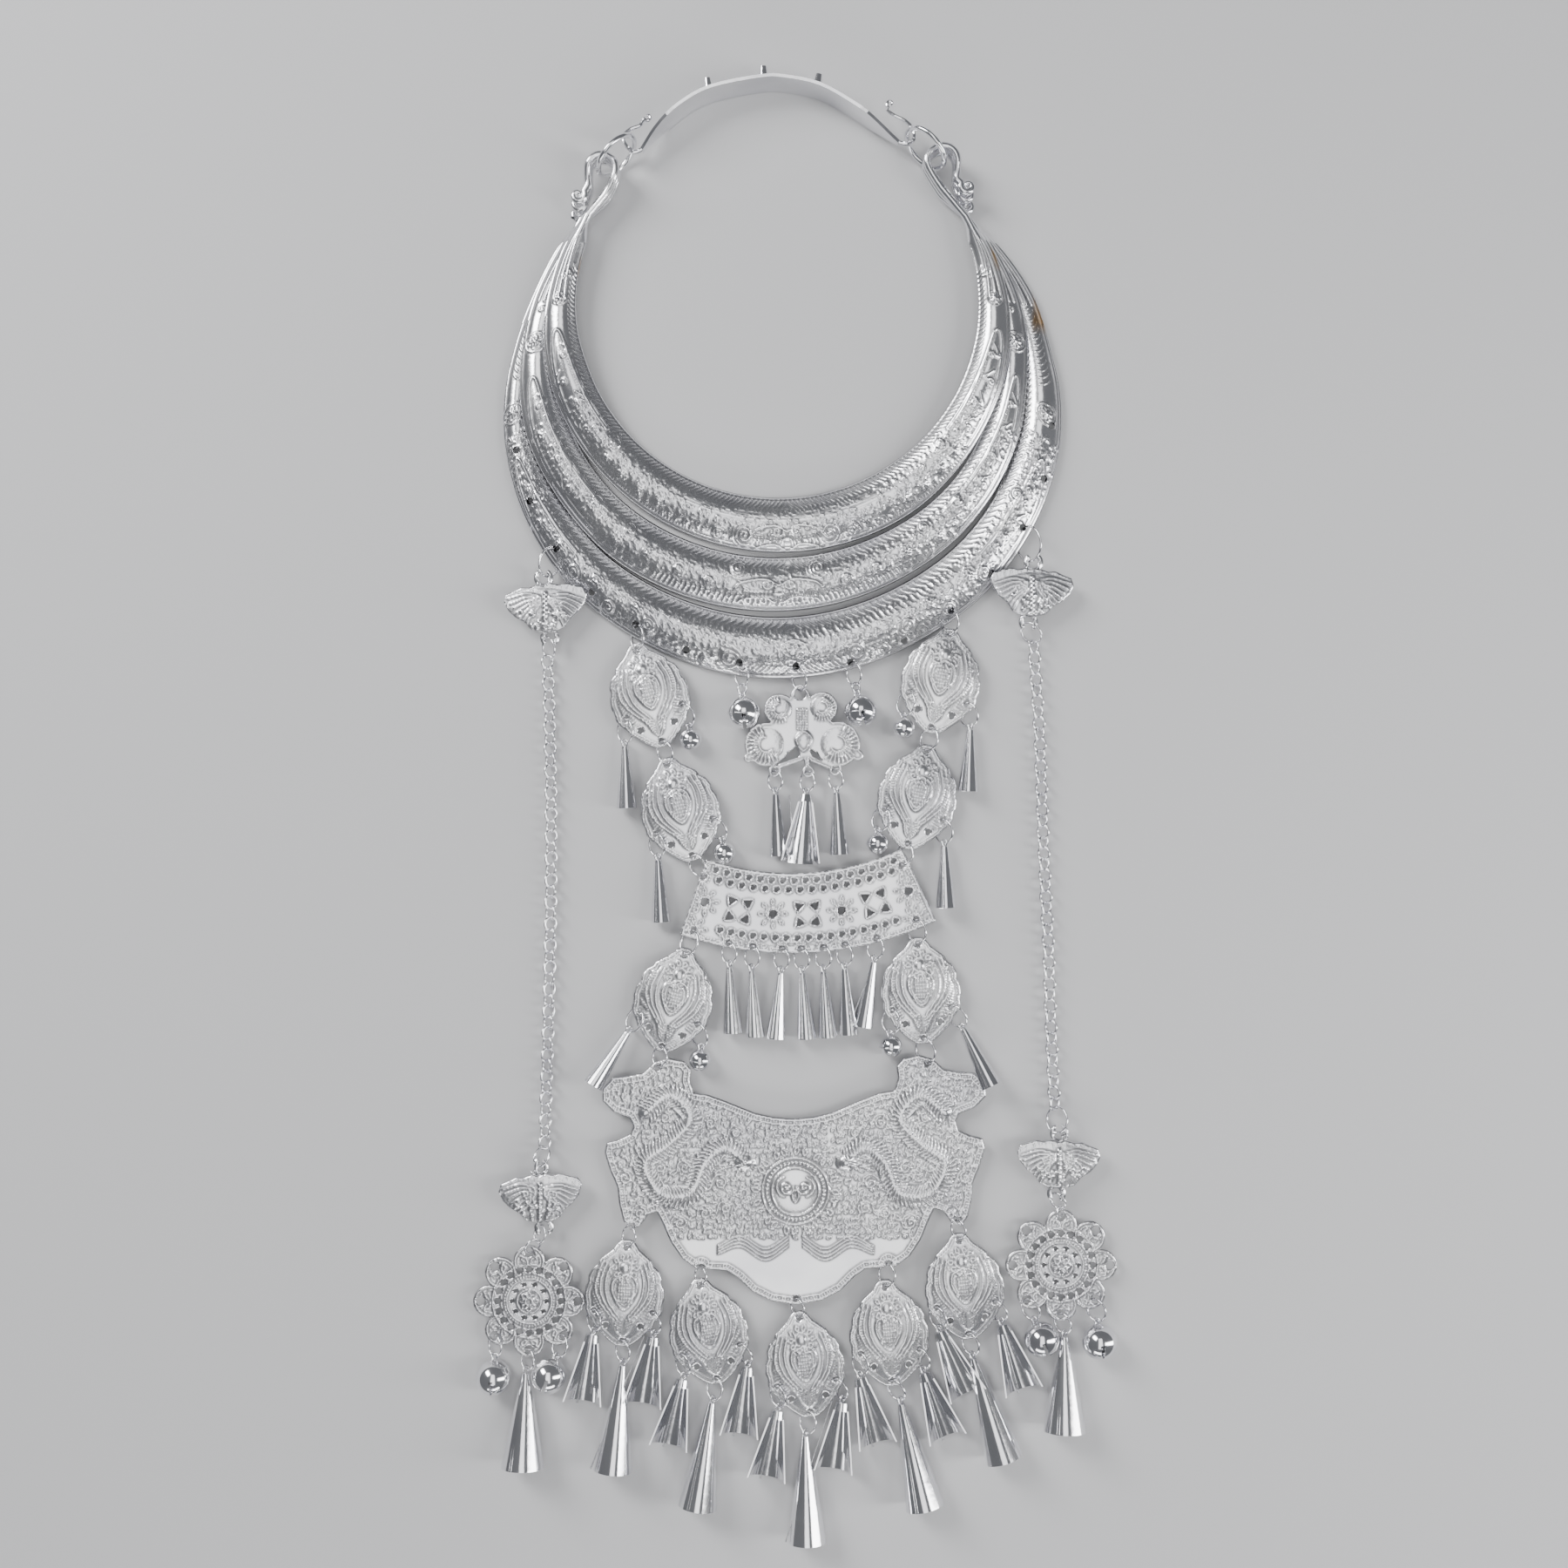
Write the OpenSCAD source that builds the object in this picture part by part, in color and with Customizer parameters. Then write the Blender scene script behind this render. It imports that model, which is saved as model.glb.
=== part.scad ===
// Hmong silver torque lying flat, face up, with its hanging plates, chains, bells and cones.
// Origin: middle of the neck opening on the surface. X to the right, Y towards the back bar, Z up.

/* [Torque] */
// Wall of the three embossed crescents
crescent_wall = 0.9; // [0.7:0.1:1.1]
// Height of a crescent's arch over its width
arch_ratio = 0.27; // [0.24:0.01:0.29]
// Clear height under the crescents' rims, where the jump rings pass
rim_lift = 2.2; // [2.1:0.1:2.6]
// Wire that each crescent ends in
horn_wire = 3; // [2.8:0.1:3.2]
// Holes along the outer rim
rim_hole_d = 3.2; // [3:0.1:3.4]

/* [Back bar] */
// Height of the back bar standing on its edge
bar_h = 15; // [13:1:16]
// Thickness of the back bar
bar_t = 1.2; // [1:0.1:1.5]
// Wire of the two clasp rings
clasp_wire = 2.2; // [2:0.1:2.4]
// Outer width of a clasp ring
clasp_w = 21; // [20:0.5:22]

/* [Hanging plates] */
// Sheet thickness of the hanging plates
sheet_t = 0.6; // [0.5:0.05:0.7]
// Holes that jump rings pass through
ring_hole_d = 2.5; // [2.4:0.1:2.6]
// Height of the plates over the surface at their holes
plate_z = 4.1; // [4:0.1:4.3]
// Radius of the dome that each leaf is a piece of
leaf_dome_r = 80; // [70:5:100]

/* [Rings and drops] */
// Wire of the jump rings
ring_wire = 0.9; // [0.8:0.05:1]
// Lean of a jump ring from the flat
ring_lean = 46; // [44:1:50]
// Wall of the cones and bells
drop_wall = 0.5; // [0.4:0.1:0.7]
// Wire of a chain link
link_wire = 1.1; // [1:0.1:1.2]
// Outer width of a chain link
link_w = 6.3; // [6:0.1:6.6]

/* [Hidden] */
$fn = 48;
silver = [0.83, 0.83, 0.85];

// Crescent edges: columns are degrees from the bottom, then the inner and outer radius in mm.
inner_edges = [
    [-122, 79.5, 82.5], [-114, 78, 83.5], [-106, 77.8, 85.8], [-100, 78.8, 87.5], [-90, 79.8, 91],
    [-80, 80.5, 94.5], [-70, 80.5, 96.8], [-60, 80.9, 98.4], [-45, 80.9, 99.9], [-30, 80.5, 101],
    [0, 80.2, 102.2], [30, 80.5, 101.8], [45, 80.9, 99.9], [60, 80.9, 97.6], [70, 80.5, 96.2],
    [80, 80, 93.8], [90, 79.1, 90.8], [100, 78.4, 87.2], [106, 77.2, 85], [114, 76.5, 82.5],
    [122, 77.5, 80.5]
];
middle_edges = [
    [-122, 79.5, 82.5], [-114, 78.5, 84], [-106, 80, 88], [-100, 81.2, 90.3], [-90, 85.4, 96.6],
    [-80, 90.3, 102.9], [-70, 93.8, 109.6], [-60, 97.2, 115.2], [-45, 101.3, 120], [-30, 103.2, 124.2],
    [0, 104, 125.8], [30, 102.8, 121.8], [45, 101, 117.6], [60, 96.6, 111.3], [70, 93.1, 105.4],
    [80, 88.9, 100.8], [90, 84.7, 95.6], [100, 81.2, 89.6], [106, 79.5, 87], [114, 77.5, 83.5],
    [122, 77.5, 80.5]
];
outer_edges = [
    [-122, 79.5, 82.5], [-114, 79, 84.5], [-106, 81, 89.5], [-100, 82.6, 92], [-90, 88.2, 98.4],
    [-80, 96.6, 106.8], [-70, 105.7, 116.6], [-60, 112.7, 125.7], [-45, 119.4, 137.2],
    [-30, 124.6, 145.3], [0, 127.8, 152.8], [30, 123.6, 146.5], [45, 118.6, 139.3],
    [60, 109.8, 129.5], [70, 103.2, 120.8], [80, 97.3, 110.6], [90, 91, 102.6],
    [100, 84.7, 93.5], [106, 81, 89], [114, 78.5, 84.5], [122, 77.5, 80.5]
];
// Lift of a crescent over the one below it: degrees from the bottom, lift in mm.
lift_rows = [[0, 0], [15, 0], [30, 0.4], [45, 1.5], [60, 2.7], [70, 3.2], [80, 3.45], [122, 3.45]];
// Plan of each horn's wire after the crescent's tip, then the centre of the spiral that it ends in.
left_horn = [[-68.5, 38], [-66, 42], [-64.2, 46.2], [-64.6, 50.6], [-67.7, 53], [-71.5, 53.2],
    [-74.6, 50.4], [-75.2, 46.4], [-75, 42]];
left_spirals = [[-79, 38], [-79.3, 36], [-80, 33]];
right_horn = [[65.5, 40], [61.8, 45], [58.8, 50], [59.8, 54], [63.7, 56.6], [67.8, 56.2],
    [70.6, 53], [70.9, 48.4], [70.6, 44.4]];
right_spirals = [[75, 41.5], [75.2, 39.5], [75.6, 36]];
// The loops at the tips rise, so that the clasp rings pass under them.
tip_rise = 2.2;
spiral_r = 3;
spiral_turns = 1.25;
wire_pitch = 3.45;

// Rim holes of the outer crescent: x, y.
rim_holes = [[-104.2, -61.7], [-98.7, -82.2], [-88.2, -101], [-74, -118.3], [-56.6, -131.2],
    [-36.5, -141.3], [-15.3, -146.5], [7.3, -147.9], [28.9, -146.1], [50.4, -137.4],
    [68.8, -125.6], [85.1, -111], [97.6, -92.6], [106, -73.2], [109.1, -52.3]];
hole_butterfly_left = 2;
hole_leaf_left = 4;
hole_bell_left = 6;
hole_flower = 7;
hole_bell_right = 8;
hole_leaf_right = 10;
hole_butterfly_right = 12;

// Back bar: top edge in plan, left to right.
bar_route = [[-54, 57], [-48.5, 64], [-38.5, 73], [-26.5, 79.5], [-7, 83.5], [2.5, 83.5],
    [16.5, 80.5], [30, 73], [40, 66], [48, 59.8]];
bar_end_h = 4;
bar_hook_z = 8.5;
hook_wire = 1.8;
left_hook = [[-54, 57], [-57.2, 55.9], [-60.6, 59.2], [-61.2, 62.3], [-58.5, 65], [-54.8, 66.4],
    [-53.4, 68.5]];
left_hook_spiral = [-51.6, 69.8];
right_hook = [[48, 59.8], [51.2, 59.2], [54, 61.2], [53.4, 65.3], [50.4, 68.4], [46.4, 70.4],
    [43.4, 72.4]];
right_hook_spiral = [44.6, 75];
hook_spiral_r = 1.6;
studs = [[-27.2, 79.6, 98], [-5.6, 84.2, 92], [15.3, 81.2, 80]];
stud_len = 6.5;
// Clasp rings: centre x, y, z, direction of the ring in plan, lean from the flat.
left_clasp = [-63.8, 53.7, 10.8, 44, 80];
right_clasp = [58.4, 56.6, 10.8, -42, 76];

// Leaves: name, top hole x, y, turn from hanging straight down (positive swings the tip to the right).
leaves = [
    ["leaf_left_1", -56.4, -141.3, 15.5], ["leaf_left_2", -44, -186.8, 15],
    ["leaf_left_3", -37.2, -262.8, -14], ["leaf_right_1", 68.6, -135.2, -11],
    ["leaf_right_2", 59.4, -181.6, -11.5], ["leaf_right_3", 55.9, -258.6, 3.5],
    ["leaf_low_1", -60.4, -379.4, -2.5], ["leaf_low_2", -31.2, -395, 10.5],
    ["leaf_low_3", 8.4, -408, 7], ["leaf_low_4", 42.8, -395.4, 4.5], ["leaf_low_5", 72.4, -376.8, 6]
];
leaf_len = 37.6;
// Right half of a leaf's outline from the top hole: x, y.
leaf_half = [[1.8, 2.6], [3.6, 1.2], [5.2, -1.2], [8, -3.4], [10.4, -5.4], [11, -7.2], [13.2, -9],
    [14.6, -12], [14.5, -14.4], [15.7, -16.8], [16, -20.4], [15.3, -22.6], [15.5, -25.4],
    [14, -28.4], [12.8, -29.4], [11.6, -32], [8.6, -35], [5.6, -37.8], [2.6, -39.9]];
// Holes of a leaf besides its top one: outer left, inner left, bottom, inner right, outer right.
leaf_holes = [[-11.7, -25.6], [-6.9, -31.4], [0, -37.6], [6.9, -31.4], [11.7, -25.6]];

// Drops: leaf number, hole number, turn of the jump ring, turn of the drop, kind,
// and how far the mouth is raised where it lies on the big plate.
upper_drops = [
    [0, 0, -2, 2, "cone"], [0, 4, 18, 6, "bell"],
    [1, 0, 5, 3, "cone"], [1, 4, 25, 8, "bell"],
    [2, 0, -30, -33, "cone", 4.4], [2, 4, 8, -4, "bell"],
    [3, 4, 10, -2, "cone"], [3, 0, -14, 4, "bell"],
    [4, 4, 4, 1, "cone", 2], [4, 0, -20, 2, "bell"],
    [5, 4, 28, 26, "cone", 4.4], [5, 0, -8, 8, "bell"]
];
low_drops = [
    [6, 0, -4, -8, "fan"], [6, 2, 1, -5, "big"], [6, 4, 2, -9, "fan"],
    [7, 0, 2, -12, "fan"], [7, 2, -12, -8, "big"], [7, 4, 20, -7, "fan"],
    [8, 0, 2, -10, "fan"], [8, 2, -14, 1, "big"], [8, 4, 18, -8, "fan"],
    [9, 0, -4, 15, "fan"], [9, 2, 22, 13, "big"], [9, 4, 10, 20, "fan"],
    [10, 0, 5, 24, "fan"], [10, 2, 8, 17, "big"], [10, 4, 16, 18, "fan"]
];
// Drop sizes: length, top diameter, mouth diameter.
cone_size = [24.5, 3, 8.2];
big_size = [40.5, 3, 15.4];
fan_size = [27, 5, 15.6];
band_cone_size = [26, 2.8, 8];
rosette_cone_size = [36, 3.4, 17];
small_bell_d = 8.8;
torque_bell_d = 13;
rosette_bell_d = 13.9;
reach = 9.4;
low_reach = 8.6;
eye_r = 1.35;
eye_wire = 0.8;

function polar(r, phi) = [r * sin(phi), -r * cos(phi)];
function turned(v, a) = [v[0] * cos(a) - v[1] * sin(a), v[0] * sin(a) + v[1] * cos(a)];
function down(a) = [sin(a), -cos(a)];
function unit(v) = v / norm(v);
function mix(a, b, t) = a + (b - a) * t;
function ease(t) = t < 0 ? 0 : t > 1 ? 1 : t * t * (3 - 2 * t);
function bend(a, b, c, d, t) =
    0.5 * (2 * b + (c - a) * t + (2 * a - 5 * b + 4 * c - d) * t * t
    + (3 * b - a - 3 * c + d) * t * t * t);
function clip(i, n) = max(0, min(n - 1, i));
function curve(p, steps) = let (n = len(p)) [
    for (i = [0 : n - 2]) for (s = [0 : steps - 1])
        bend(p[clip(i - 1, n)], p[i], p[i + 1], p[clip(i + 2, n)], s / steps),
    p[n - 1]
];
// Smooth value of column c at x, from rows that start with x.
function row_at(rows, x, i = 0) = i >= len(rows) - 2 || x < rows[i + 1][0] ? i : row_at(rows, x, i + 1);
function slope(rows, c, i) = let (a = clip(i - 1, len(rows)), b = clip(i + 1, len(rows)))
    (rows[b][c] - rows[a][c]) / (rows[b][0] - rows[a][0]);
function smooth(rows, x, c) = let (
    i = row_at(rows, x),
    h = rows[i + 1][0] - rows[i][0],
    t = max(0, min(1, (x - rows[i][0]) / h))
) rows[i][c] * (1 + 2 * t) * (1 - t) * (1 - t) + rows[i + 1][c] * t * t * (3 - 2 * t)
    + h * (slope(rows, c, i) * t * (1 - t) * (1 - t) - slope(rows, c, i + 1) * t * t * (1 - t));
function lift(phi) = smooth(lift_rows, abs(phi), 1);
function backwards(p) = [for (i = [len(p) - 1 : -1 : 0]) p[i]];

// A closed solid through sections that all have the same number of points.
module sweep(sections) {
    n = len(sections[0]);
    last = len(sections) - 1;
    polyhedron(
        points = [for (s = sections) for (p = s) p],
        faces = concat(
            [[for (i = [0 : n - 1]) i]],
            [for (k = [0 : last - 1]) for (i = [0 : n - 1])
                let (j = (i + 1) % n)
                [k * n + i, (k + 1) * n + i, (k + 1) * n + j]],
            [for (k = [0 : last - 1]) for (i = [0 : n - 1])
                let (j = (i + 1) % n)
                [k * n + i, (k + 1) * n + j, k * n + j]],
            [[for (i = [n - 1 : -1 : 0]) last * n + i]]
        )
    );
}

// Sections of a crescent: seven points over the arch, then five under it.
arch_u = [-1, -0.72, -0.38, 0, 0.38, 0.72, 1];
hollow_u = [1, 0.5, 0, -0.5, -1];
function arch(w, h) = let (foot = 1 - 2.2 * crescent_wall / w) concat(
    [for (u = arch_u) [u * w / 2, h * (1 - u * u)]],
    [for (u = hollow_u) [u * foot * w / 2, (h - crescent_wall) * (1 - u * u)]]
);
function wire(r) = concat(
    [for (i = [0 : 6]) [r * cos(200 - i * 220 / 6), horn_wire / 2 + r * sin(200 - i * 220 / 6)]],
    [for (i = [0 : 4]) [r * cos(-50 - i * 20), horn_wire / 2 + r * sin(-50 - i * 20)]]
);
function placed(outline, at, side, z) =
    [for (p = outline) [at[0] + side[0] * p[0], at[1] + side[1] * p[0], z + p[1]]];
function crescent_section(rows, level, phi) = let (
    inner = smooth(rows, phi, 1),
    outer = smooth(rows, phi, 2),
    w = outer - inner,
    flat = arch(w, max(arch_ratio * w, 2.9)),
    round = wire(horn_wire / 2),
    t = ease((abs(phi) - 104) / 8)
) placed(
    [for (i = [0 : 11]) mix(flat[i], round[i], t)],
    polar((inner + outer) / 2, phi), [sin(phi), -cos(phi)], rim_lift + level * lift(phi)
);
// Sections of a plain wire along a flat path, whose radius goes from r1 to r2.
function wire_sections(path, z, r1, r2) = let (n = len(path)) [
    for (i = [0 : n - 1]) let (
        d = unit(path[clip(i + 1, n)] - path[clip(i - 1, n)])
    ) placed(wire(mix(r1, r2, i / (n - 1))), path[i], [d[1], -d[0]], z)
];
function coil(centre, start, hand) = [
    for (a = [0 : 30 : 360 * spiral_turns])
        centre + mix(spiral_r, 0.5, a / 360 / spiral_turns) * [cos(start + hand * a), sin(start + hand * a)]
];
function horn_path(horn, centre, hand) = concat(
    curve(horn, 3), coil(centre, hand < 0 ? 35 : 150, hand)
);
function tip(horn, centre, hand, z) = let (
    path = horn_path(horn, centre, hand), n = len(path), bare = n - 13,
    d = [for (i = [0 : n - 1]) unit(path[clip(i + 1, n)] - path[clip(i - 1, n)])]
) [for (i = [0 : n - 1])
    placed(wire(mix(horn_wire / 2, 0.5, max(0, (i - bare) / 13))), path[i],
        hand < 0 ? [-d[i][1], d[i][0]] : [d[i][1], -d[i][0]], z + tip_rise * ease(i / 6) * ease((bare - 5 - i) / 6))];
module crescent(rows, level) {
    z = rim_lift + level * wire_pitch;
    sweep(concat(
        backwards(tip(left_horn, left_spirals[2 - level], -1, z)),
        [for (phi = [-112 : 5.6 : 112.1]) crescent_section(rows, level, phi)],
        tip(right_horn, right_spirals[2 - level], 1, z)
    ));
}
module crescent_inner() color(silver) crescent(inner_edges, 2);
module crescent_middle() color(silver) crescent(middle_edges, 1);
module crescent_outer() color(silver) difference() {
    crescent(outer_edges, 0);
    for (p = rim_holes) translate([p[0], p[1], 1]) cylinder(d = rim_hole_d, h = 12);
}

module torus(r, wire_d) rotate_extrude() translate([r, 0]) circle(d = wire_d);
// A jump ring that passes through points a and b.
module jump_ring(a, b, hand = 1, lean = ring_lean) {
    d = b - a;
    translate((a + b) / 2)
        rotate([0, -asin(d[2] / norm(d)), atan2(d[1], d[0])])
            rotate([hand * lean, 0, 0]) torus(norm(d) / 2, ring_wire);
}
// Two jump rings linked to each other; the first one reaches as far as first from a.
module two_rings(a, b, first, lean = ring_lean) {
    d = unit(b - a);
    jump_ring(a, a + first * d, 1, lean);
    jump_ring(a + (first - ring_wire - 0.2) * d, b, -1);
}
// Moves each end of a link a little towards the other, as a pulled ring lies in its holes.
slack = 0.3;
module link_ring(a, b) jump_ring(a + slack * unit(b - a), b - slack * unit(b - a));
// Stands the X axis along a drop that starts at point p, turns to a and rises by e degrees.
module hung(p, a, e) translate(p) rotate([0, -e, a - 90]) children();
module eye(hand = 1) rotate([hand * (ring_lean - 90), 0, 0]) torus(eye_r, eye_wire);
eye_to_top = 1.4;
module cone(size) {
    eye();
    translate([eye_to_top, 0, 0]) rotate([0, 90, 0]) difference() {
        cylinder(h = size[0], d1 = size[1], d2 = size[2]);
        translate([0, 0, 0.8])
            cylinder(h = size[0], d1 = size[1] - 2 * drop_wall, d2 = size[2] - 2 * drop_wall + 0.2);
    }
}
// A loosely rolled cone: open along its top, its mouth cut at a slant.
module fan(size) {
    eye();
    translate([eye_to_top, 0, 0]) rotate([0, 90, 0]) difference() {
        cylinder(h = size[0], d1 = size[1], d2 = size[2]);
        translate([0, 0, 0.8])
            cylinder(h = size[0], d1 = size[1] - 2 * drop_wall, d2 = size[2] - 2 * drop_wall + 0.3);
        translate([-size[2] - 0.8, -size[2], 3]) cube([size[2], 2 * size[2], size[0]]);
        translate([0, 0, size[0] + 6]) rotate([0, -20, 0]) translate([0, 0, 10]) cube([60, 60, 20], true);
    }
}
// A bell is a turned shell with a thicker crown, slit across its far end.
crown_t = 1.1;
slit_w = 0.11;
module bell(d, hand = 1) {
    eye(hand);
    translate([eye_to_top + d / 2 - 0.5, 0, 0]) difference() {
        rotate([0, 90, 0]) rotate_extrude() intersection() {
            difference() {
                circle(d = d);
                translate([0, (crown_t - drop_wall) / 2]) circle(d = d - drop_wall - crown_t);
            }
            translate([0, -d]) square([d, 2 * d]);
        }
        translate([d / 2, 0, 0]) cube([d * 0.7, d * slit_w, d * 1.2], true);
    }
}
function drop_d(kind) = kind == "bell" ? small_bell_d : kind == "big" ? big_size[2]
    : kind == "fan" ? fan_size[2] : kind == "rosette" ? rosette_cone_size[2] : cone_size[2];
function drop_l(kind) = kind == "bell" ? eye_to_top + small_bell_d / 2 : kind == "big" ? big_size[0]
    : kind == "fan" ? fan_size[0] : kind == "rosette" ? rosette_cone_size[0] : cone_size[0];
eye_z = 4.3;
module drop(kind, p, a, raised = 0) {
    e = asin((drop_d(kind) / 2 + 0.4 + raised - p[2]) / drop_l(kind));
    hung(p, a, e) {
        if (kind == "cone") cone(cone_size);
        if (kind == "band") cone(band_cone_size);
        if (kind == "rosette") cone(rosette_cone_size);
        if (kind == "big") cone(big_size);
        if (kind == "fan") fan(fan_size);
        if (kind == "bell") bell(small_bell_d);
    }
}

function bar_section(p, d, h) = let (s = [d[1], -d[0]] * bar_t / 2, low = (bar_h - h) / 2) [
    [p[0] - s[0], p[1] - s[1], low], [p[0] - s[0], p[1] - s[1], low + h],
    [p[0] + s[0], p[1] + s[1], low + h], [p[0] + s[0], p[1] + s[1], low]
];
module hook(route, centre, hand) {
    path = concat(curve(route, 3), [
        for (a = [0 : 30 : 300]) centre + mix(hook_spiral_r, 0.5, a / 300)
            * [cos((hand < 0 ? 240 : 200) + hand * a), sin((hand < 0 ? 240 : 200) + hand * a)]
    ]);
    sweep(wire_sections(path, bar_hook_z - horn_wire / 2, hook_wire / 2, hook_wire / 3));
}
module back_bar() color(silver) {
    path = curve(bar_route, 4);
    n = len(path);
    union() {
        sweep([for (i = [0 : n - 1]) bar_section(
            path[i], unit(path[clip(i + 1, n)] - path[clip(i - 1, n)]),
            mix(bar_end_h, bar_h, ease(min(i, n - 1 - i) / 7))
        )]);
        for (s = studs) translate([s[0], s[1], bar_h / 2]) rotate([90, 0, s[2] + 90])
            translate([0, 0, -0.6]) cylinder(h = stud_len, d1 = 4.6, d2 = 3);
        hook(left_hook, left_hook_spiral, 1);
        hook(right_hook, right_hook_spiral, -1);
    }
}
module clasp_ring(c) color(silver) translate([c[0], c[1], c[2]]) rotate([0, 0, c[3]])
    rotate([c[4], 0, 0]) torus((clasp_w - clasp_wire) / 2, clasp_wire);
module clasp_ring_left() clasp_ring(left_clasp);
module clasp_ring_right() clasp_ring(right_clasp);

// Leaves
function leaf_point(k, q) = let (l = leaves[k], v = turned(q, l[3]))
    [l[1] + v[0], l[2] + v[1], plate_z + leaf_rise(q)];
function leaf_rise(q) = let (r = norm([q[0], q[1] + leaf_len / 2]))
    sqrt(leaf_dome_r * leaf_dome_r - r * r) - sqrt(pow(leaf_dome_r, 2) - pow(leaf_len / 2, 2));
module leaf(k) {
    outline = concat(leaf_half, [for (p = backwards(leaf_half)) [-p[0], p[1]]]);
    centre_z = plate_z - sqrt(pow(leaf_dome_r, 2) - pow(leaf_len / 2, 2));
    color(silver) translate([leaves[k][1], leaves[k][2], 0]) rotate([0, 0, leaves[k][3]]) difference() {
        intersection() {
            linear_extrude(12) polygon(outline);
            translate([0, -leaf_len / 2, centre_z]) sphere(leaf_dome_r + sheet_t / 2);
        }
        translate([0, -leaf_len / 2, centre_z]) sphere(leaf_dome_r - sheet_t / 2);
        for (p = concat([[0, 0]], leaf_holes)) translate([p[0], p[1], -1]) cylinder(d = ring_hole_d, h = 15);
    }
}

// Butterflies: centre x, y, turn.
butterflies = [[-92.1, -123.4, 6], [100.8, -117.2, -5], [-94.2, -358, 5], [111.5, -344.4, -3]];
butterfly_z = 5.6;
butterfly_t = 2.2;
ear_wire = 1.7;
ear_r = 3;
ear_up = 10.6;
ear_low = -13.2;
butterfly_half = [[0, 7.4], [3, 8], [6, 7.2], [9, 7.6], [12, 6.4], [15.4, 5.4], [16.6, 2.6],
    [15.2, -1], [12.6, -4], [9, -6.4], [7, -9.4], [3.6, -10.6], [0, -10.8]];
function ear(k, up) = let (b = butterflies[k], v = turned([0, up ? ear_up : ear_low], b[2]))
    [b[0] + v[0], b[1] + v[1], butterfly_z + butterfly_t / 2];
module butterfly(k) {
    outline = concat(butterfly_half, [for (p = backwards(butterfly_half)) if (p[0] > 0) [-p[0], p[1]]]);
    color(silver) translate([butterflies[k][0], butterflies[k][1], butterfly_z])
        rotate([0, 0, butterflies[k][2]]) union() {
            linear_extrude(butterfly_t) polygon(outline);
            for (y = [ear_up, ear_low]) translate([0, y, butterfly_t / 2]) torus(ear_r, ear_wire);
        }
}
module butterfly_left_top() butterfly(0);
module butterfly_right_top() butterfly(1);
module butterfly_left_low() butterfly(2);
module butterfly_right_low() butterfly(3);

// Chains: x at each y, from the top link to the last.
left_chain = [[-338, -93.3], [-318, -92.7], [-283, -91.7], [-240, -90.9], [-201, -90.8],
    [-177, -91.2], [-159, -91.6], [-146, -92.2]];
right_chain = [[-322.5, 110.6], [-290, 109.1], [-256, 108], [-222, 106.3], [-189, 105.2],
    [-172, 104.5], [-151, 103.1], [-140, 102.4]];
link_pitch = 4.32;
link_r = (link_w - link_wire) / 2 + 0.1;
chain_z = 2.8;
function first_link(rows, up) = let (y = up ? rows[len(rows) - 1][0] : rows[0][0])
    [smooth(rows, y, 1), y, chain_z];
module chain(rows) color(silver) {
    top = rows[len(rows) - 1][0];
    count = floor((top - rows[0][0]) / link_pitch + 0.5);
    pitch = (top - rows[0][0]) / count;
    for (i = [0 : count]) {
        y = top - i * pitch;
        a = atan2(smooth(rows, min(y + 1, top), 1) - smooth(rows, max(y - 1, rows[0][0]), 1), 2);
        translate([smooth(rows, y, 1), y, chain_z]) rotate([0, 0, 90 - a])
            rotate([i % 2 == 0 ? 45 : -45, 0, 0]) torus(link_r, link_wire);
    }
}
module chain_left() chain(left_chain);
module chain_right() chain(right_chain);

// Lattice band: a strip of a ring, its ends up.
band_centre = [5.4, -125.4];
band_turn = 3;
band_in = 105;
band_out = 137;
band_half = 22;
band_t = 0.7;
function band_at(r, a) = let (v = [r * sin(a + band_turn), -r * cos(a + band_turn)])
    [band_centre[0] + v[0], band_centre[1] + v[1], plate_z];
band_corners = [[112, -21.4], [133.5, -20], [111, 20.4], [133, 19]];
band_cone_holes = [-13.7, -9.6, -4.6, -1.4, 2.4, 6.1, 11.6];
band_hole_r = 135;
// Rows of round holes in the band: radius, count, pitch in degrees, hole.
band_rows = [[108, 17, 2.4, 2], [111.6, 16, 2.4, 2], [130.8, 17, 1.95, 2]];
band_slot_r = 121.5;
star_turns = [-13, 0, 13];
star_slot = [[3.6, -1.8], [6.6, 0], [3.6, 1.8]];
round_turns = [-19.6, -6.5, 6.5, 19.6];
round_d = 3;
module band_slots() {
    for (row = band_rows) for (i = [0 : row[1] - 1])
        rotate((i - (row[1] - 1) / 2) * row[2]) translate([0, -row[0]]) circle(d = row[3]);
    for (m = star_turns) rotate(m) translate([0, -band_slot_r])
        for (q = [45 : 90 : 315]) rotate(q) polygon(star_slot);
    for (m = round_turns) rotate(m) translate([0, -band_slot_r]) circle(d = round_d);
}
module lattice_band() color(silver) translate([band_centre[0], band_centre[1], plate_z - band_t / 2])
    rotate([0, 0, band_turn]) difference() {
        linear_extrude(band_t) difference() {
            circle(band_out);
            circle(band_in);
            rotate(band_half) translate([0, -200]) square([400, 400]);
            rotate(-band_half) translate([-400, -200]) square([400, 400]);
            translate([-200, 0]) square(400);
            band_slots();
        }
        for (c = band_corners) rotate([0, 0, c[1]]) translate([0, -c[0], -1]) cylinder(d = ring_hole_d, h = 4);
        for (a = band_cone_holes) rotate([0, 0, a]) translate([0, -band_hole_r, -1])
            cylinder(d = ring_hole_d, h = 4);
    }

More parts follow.
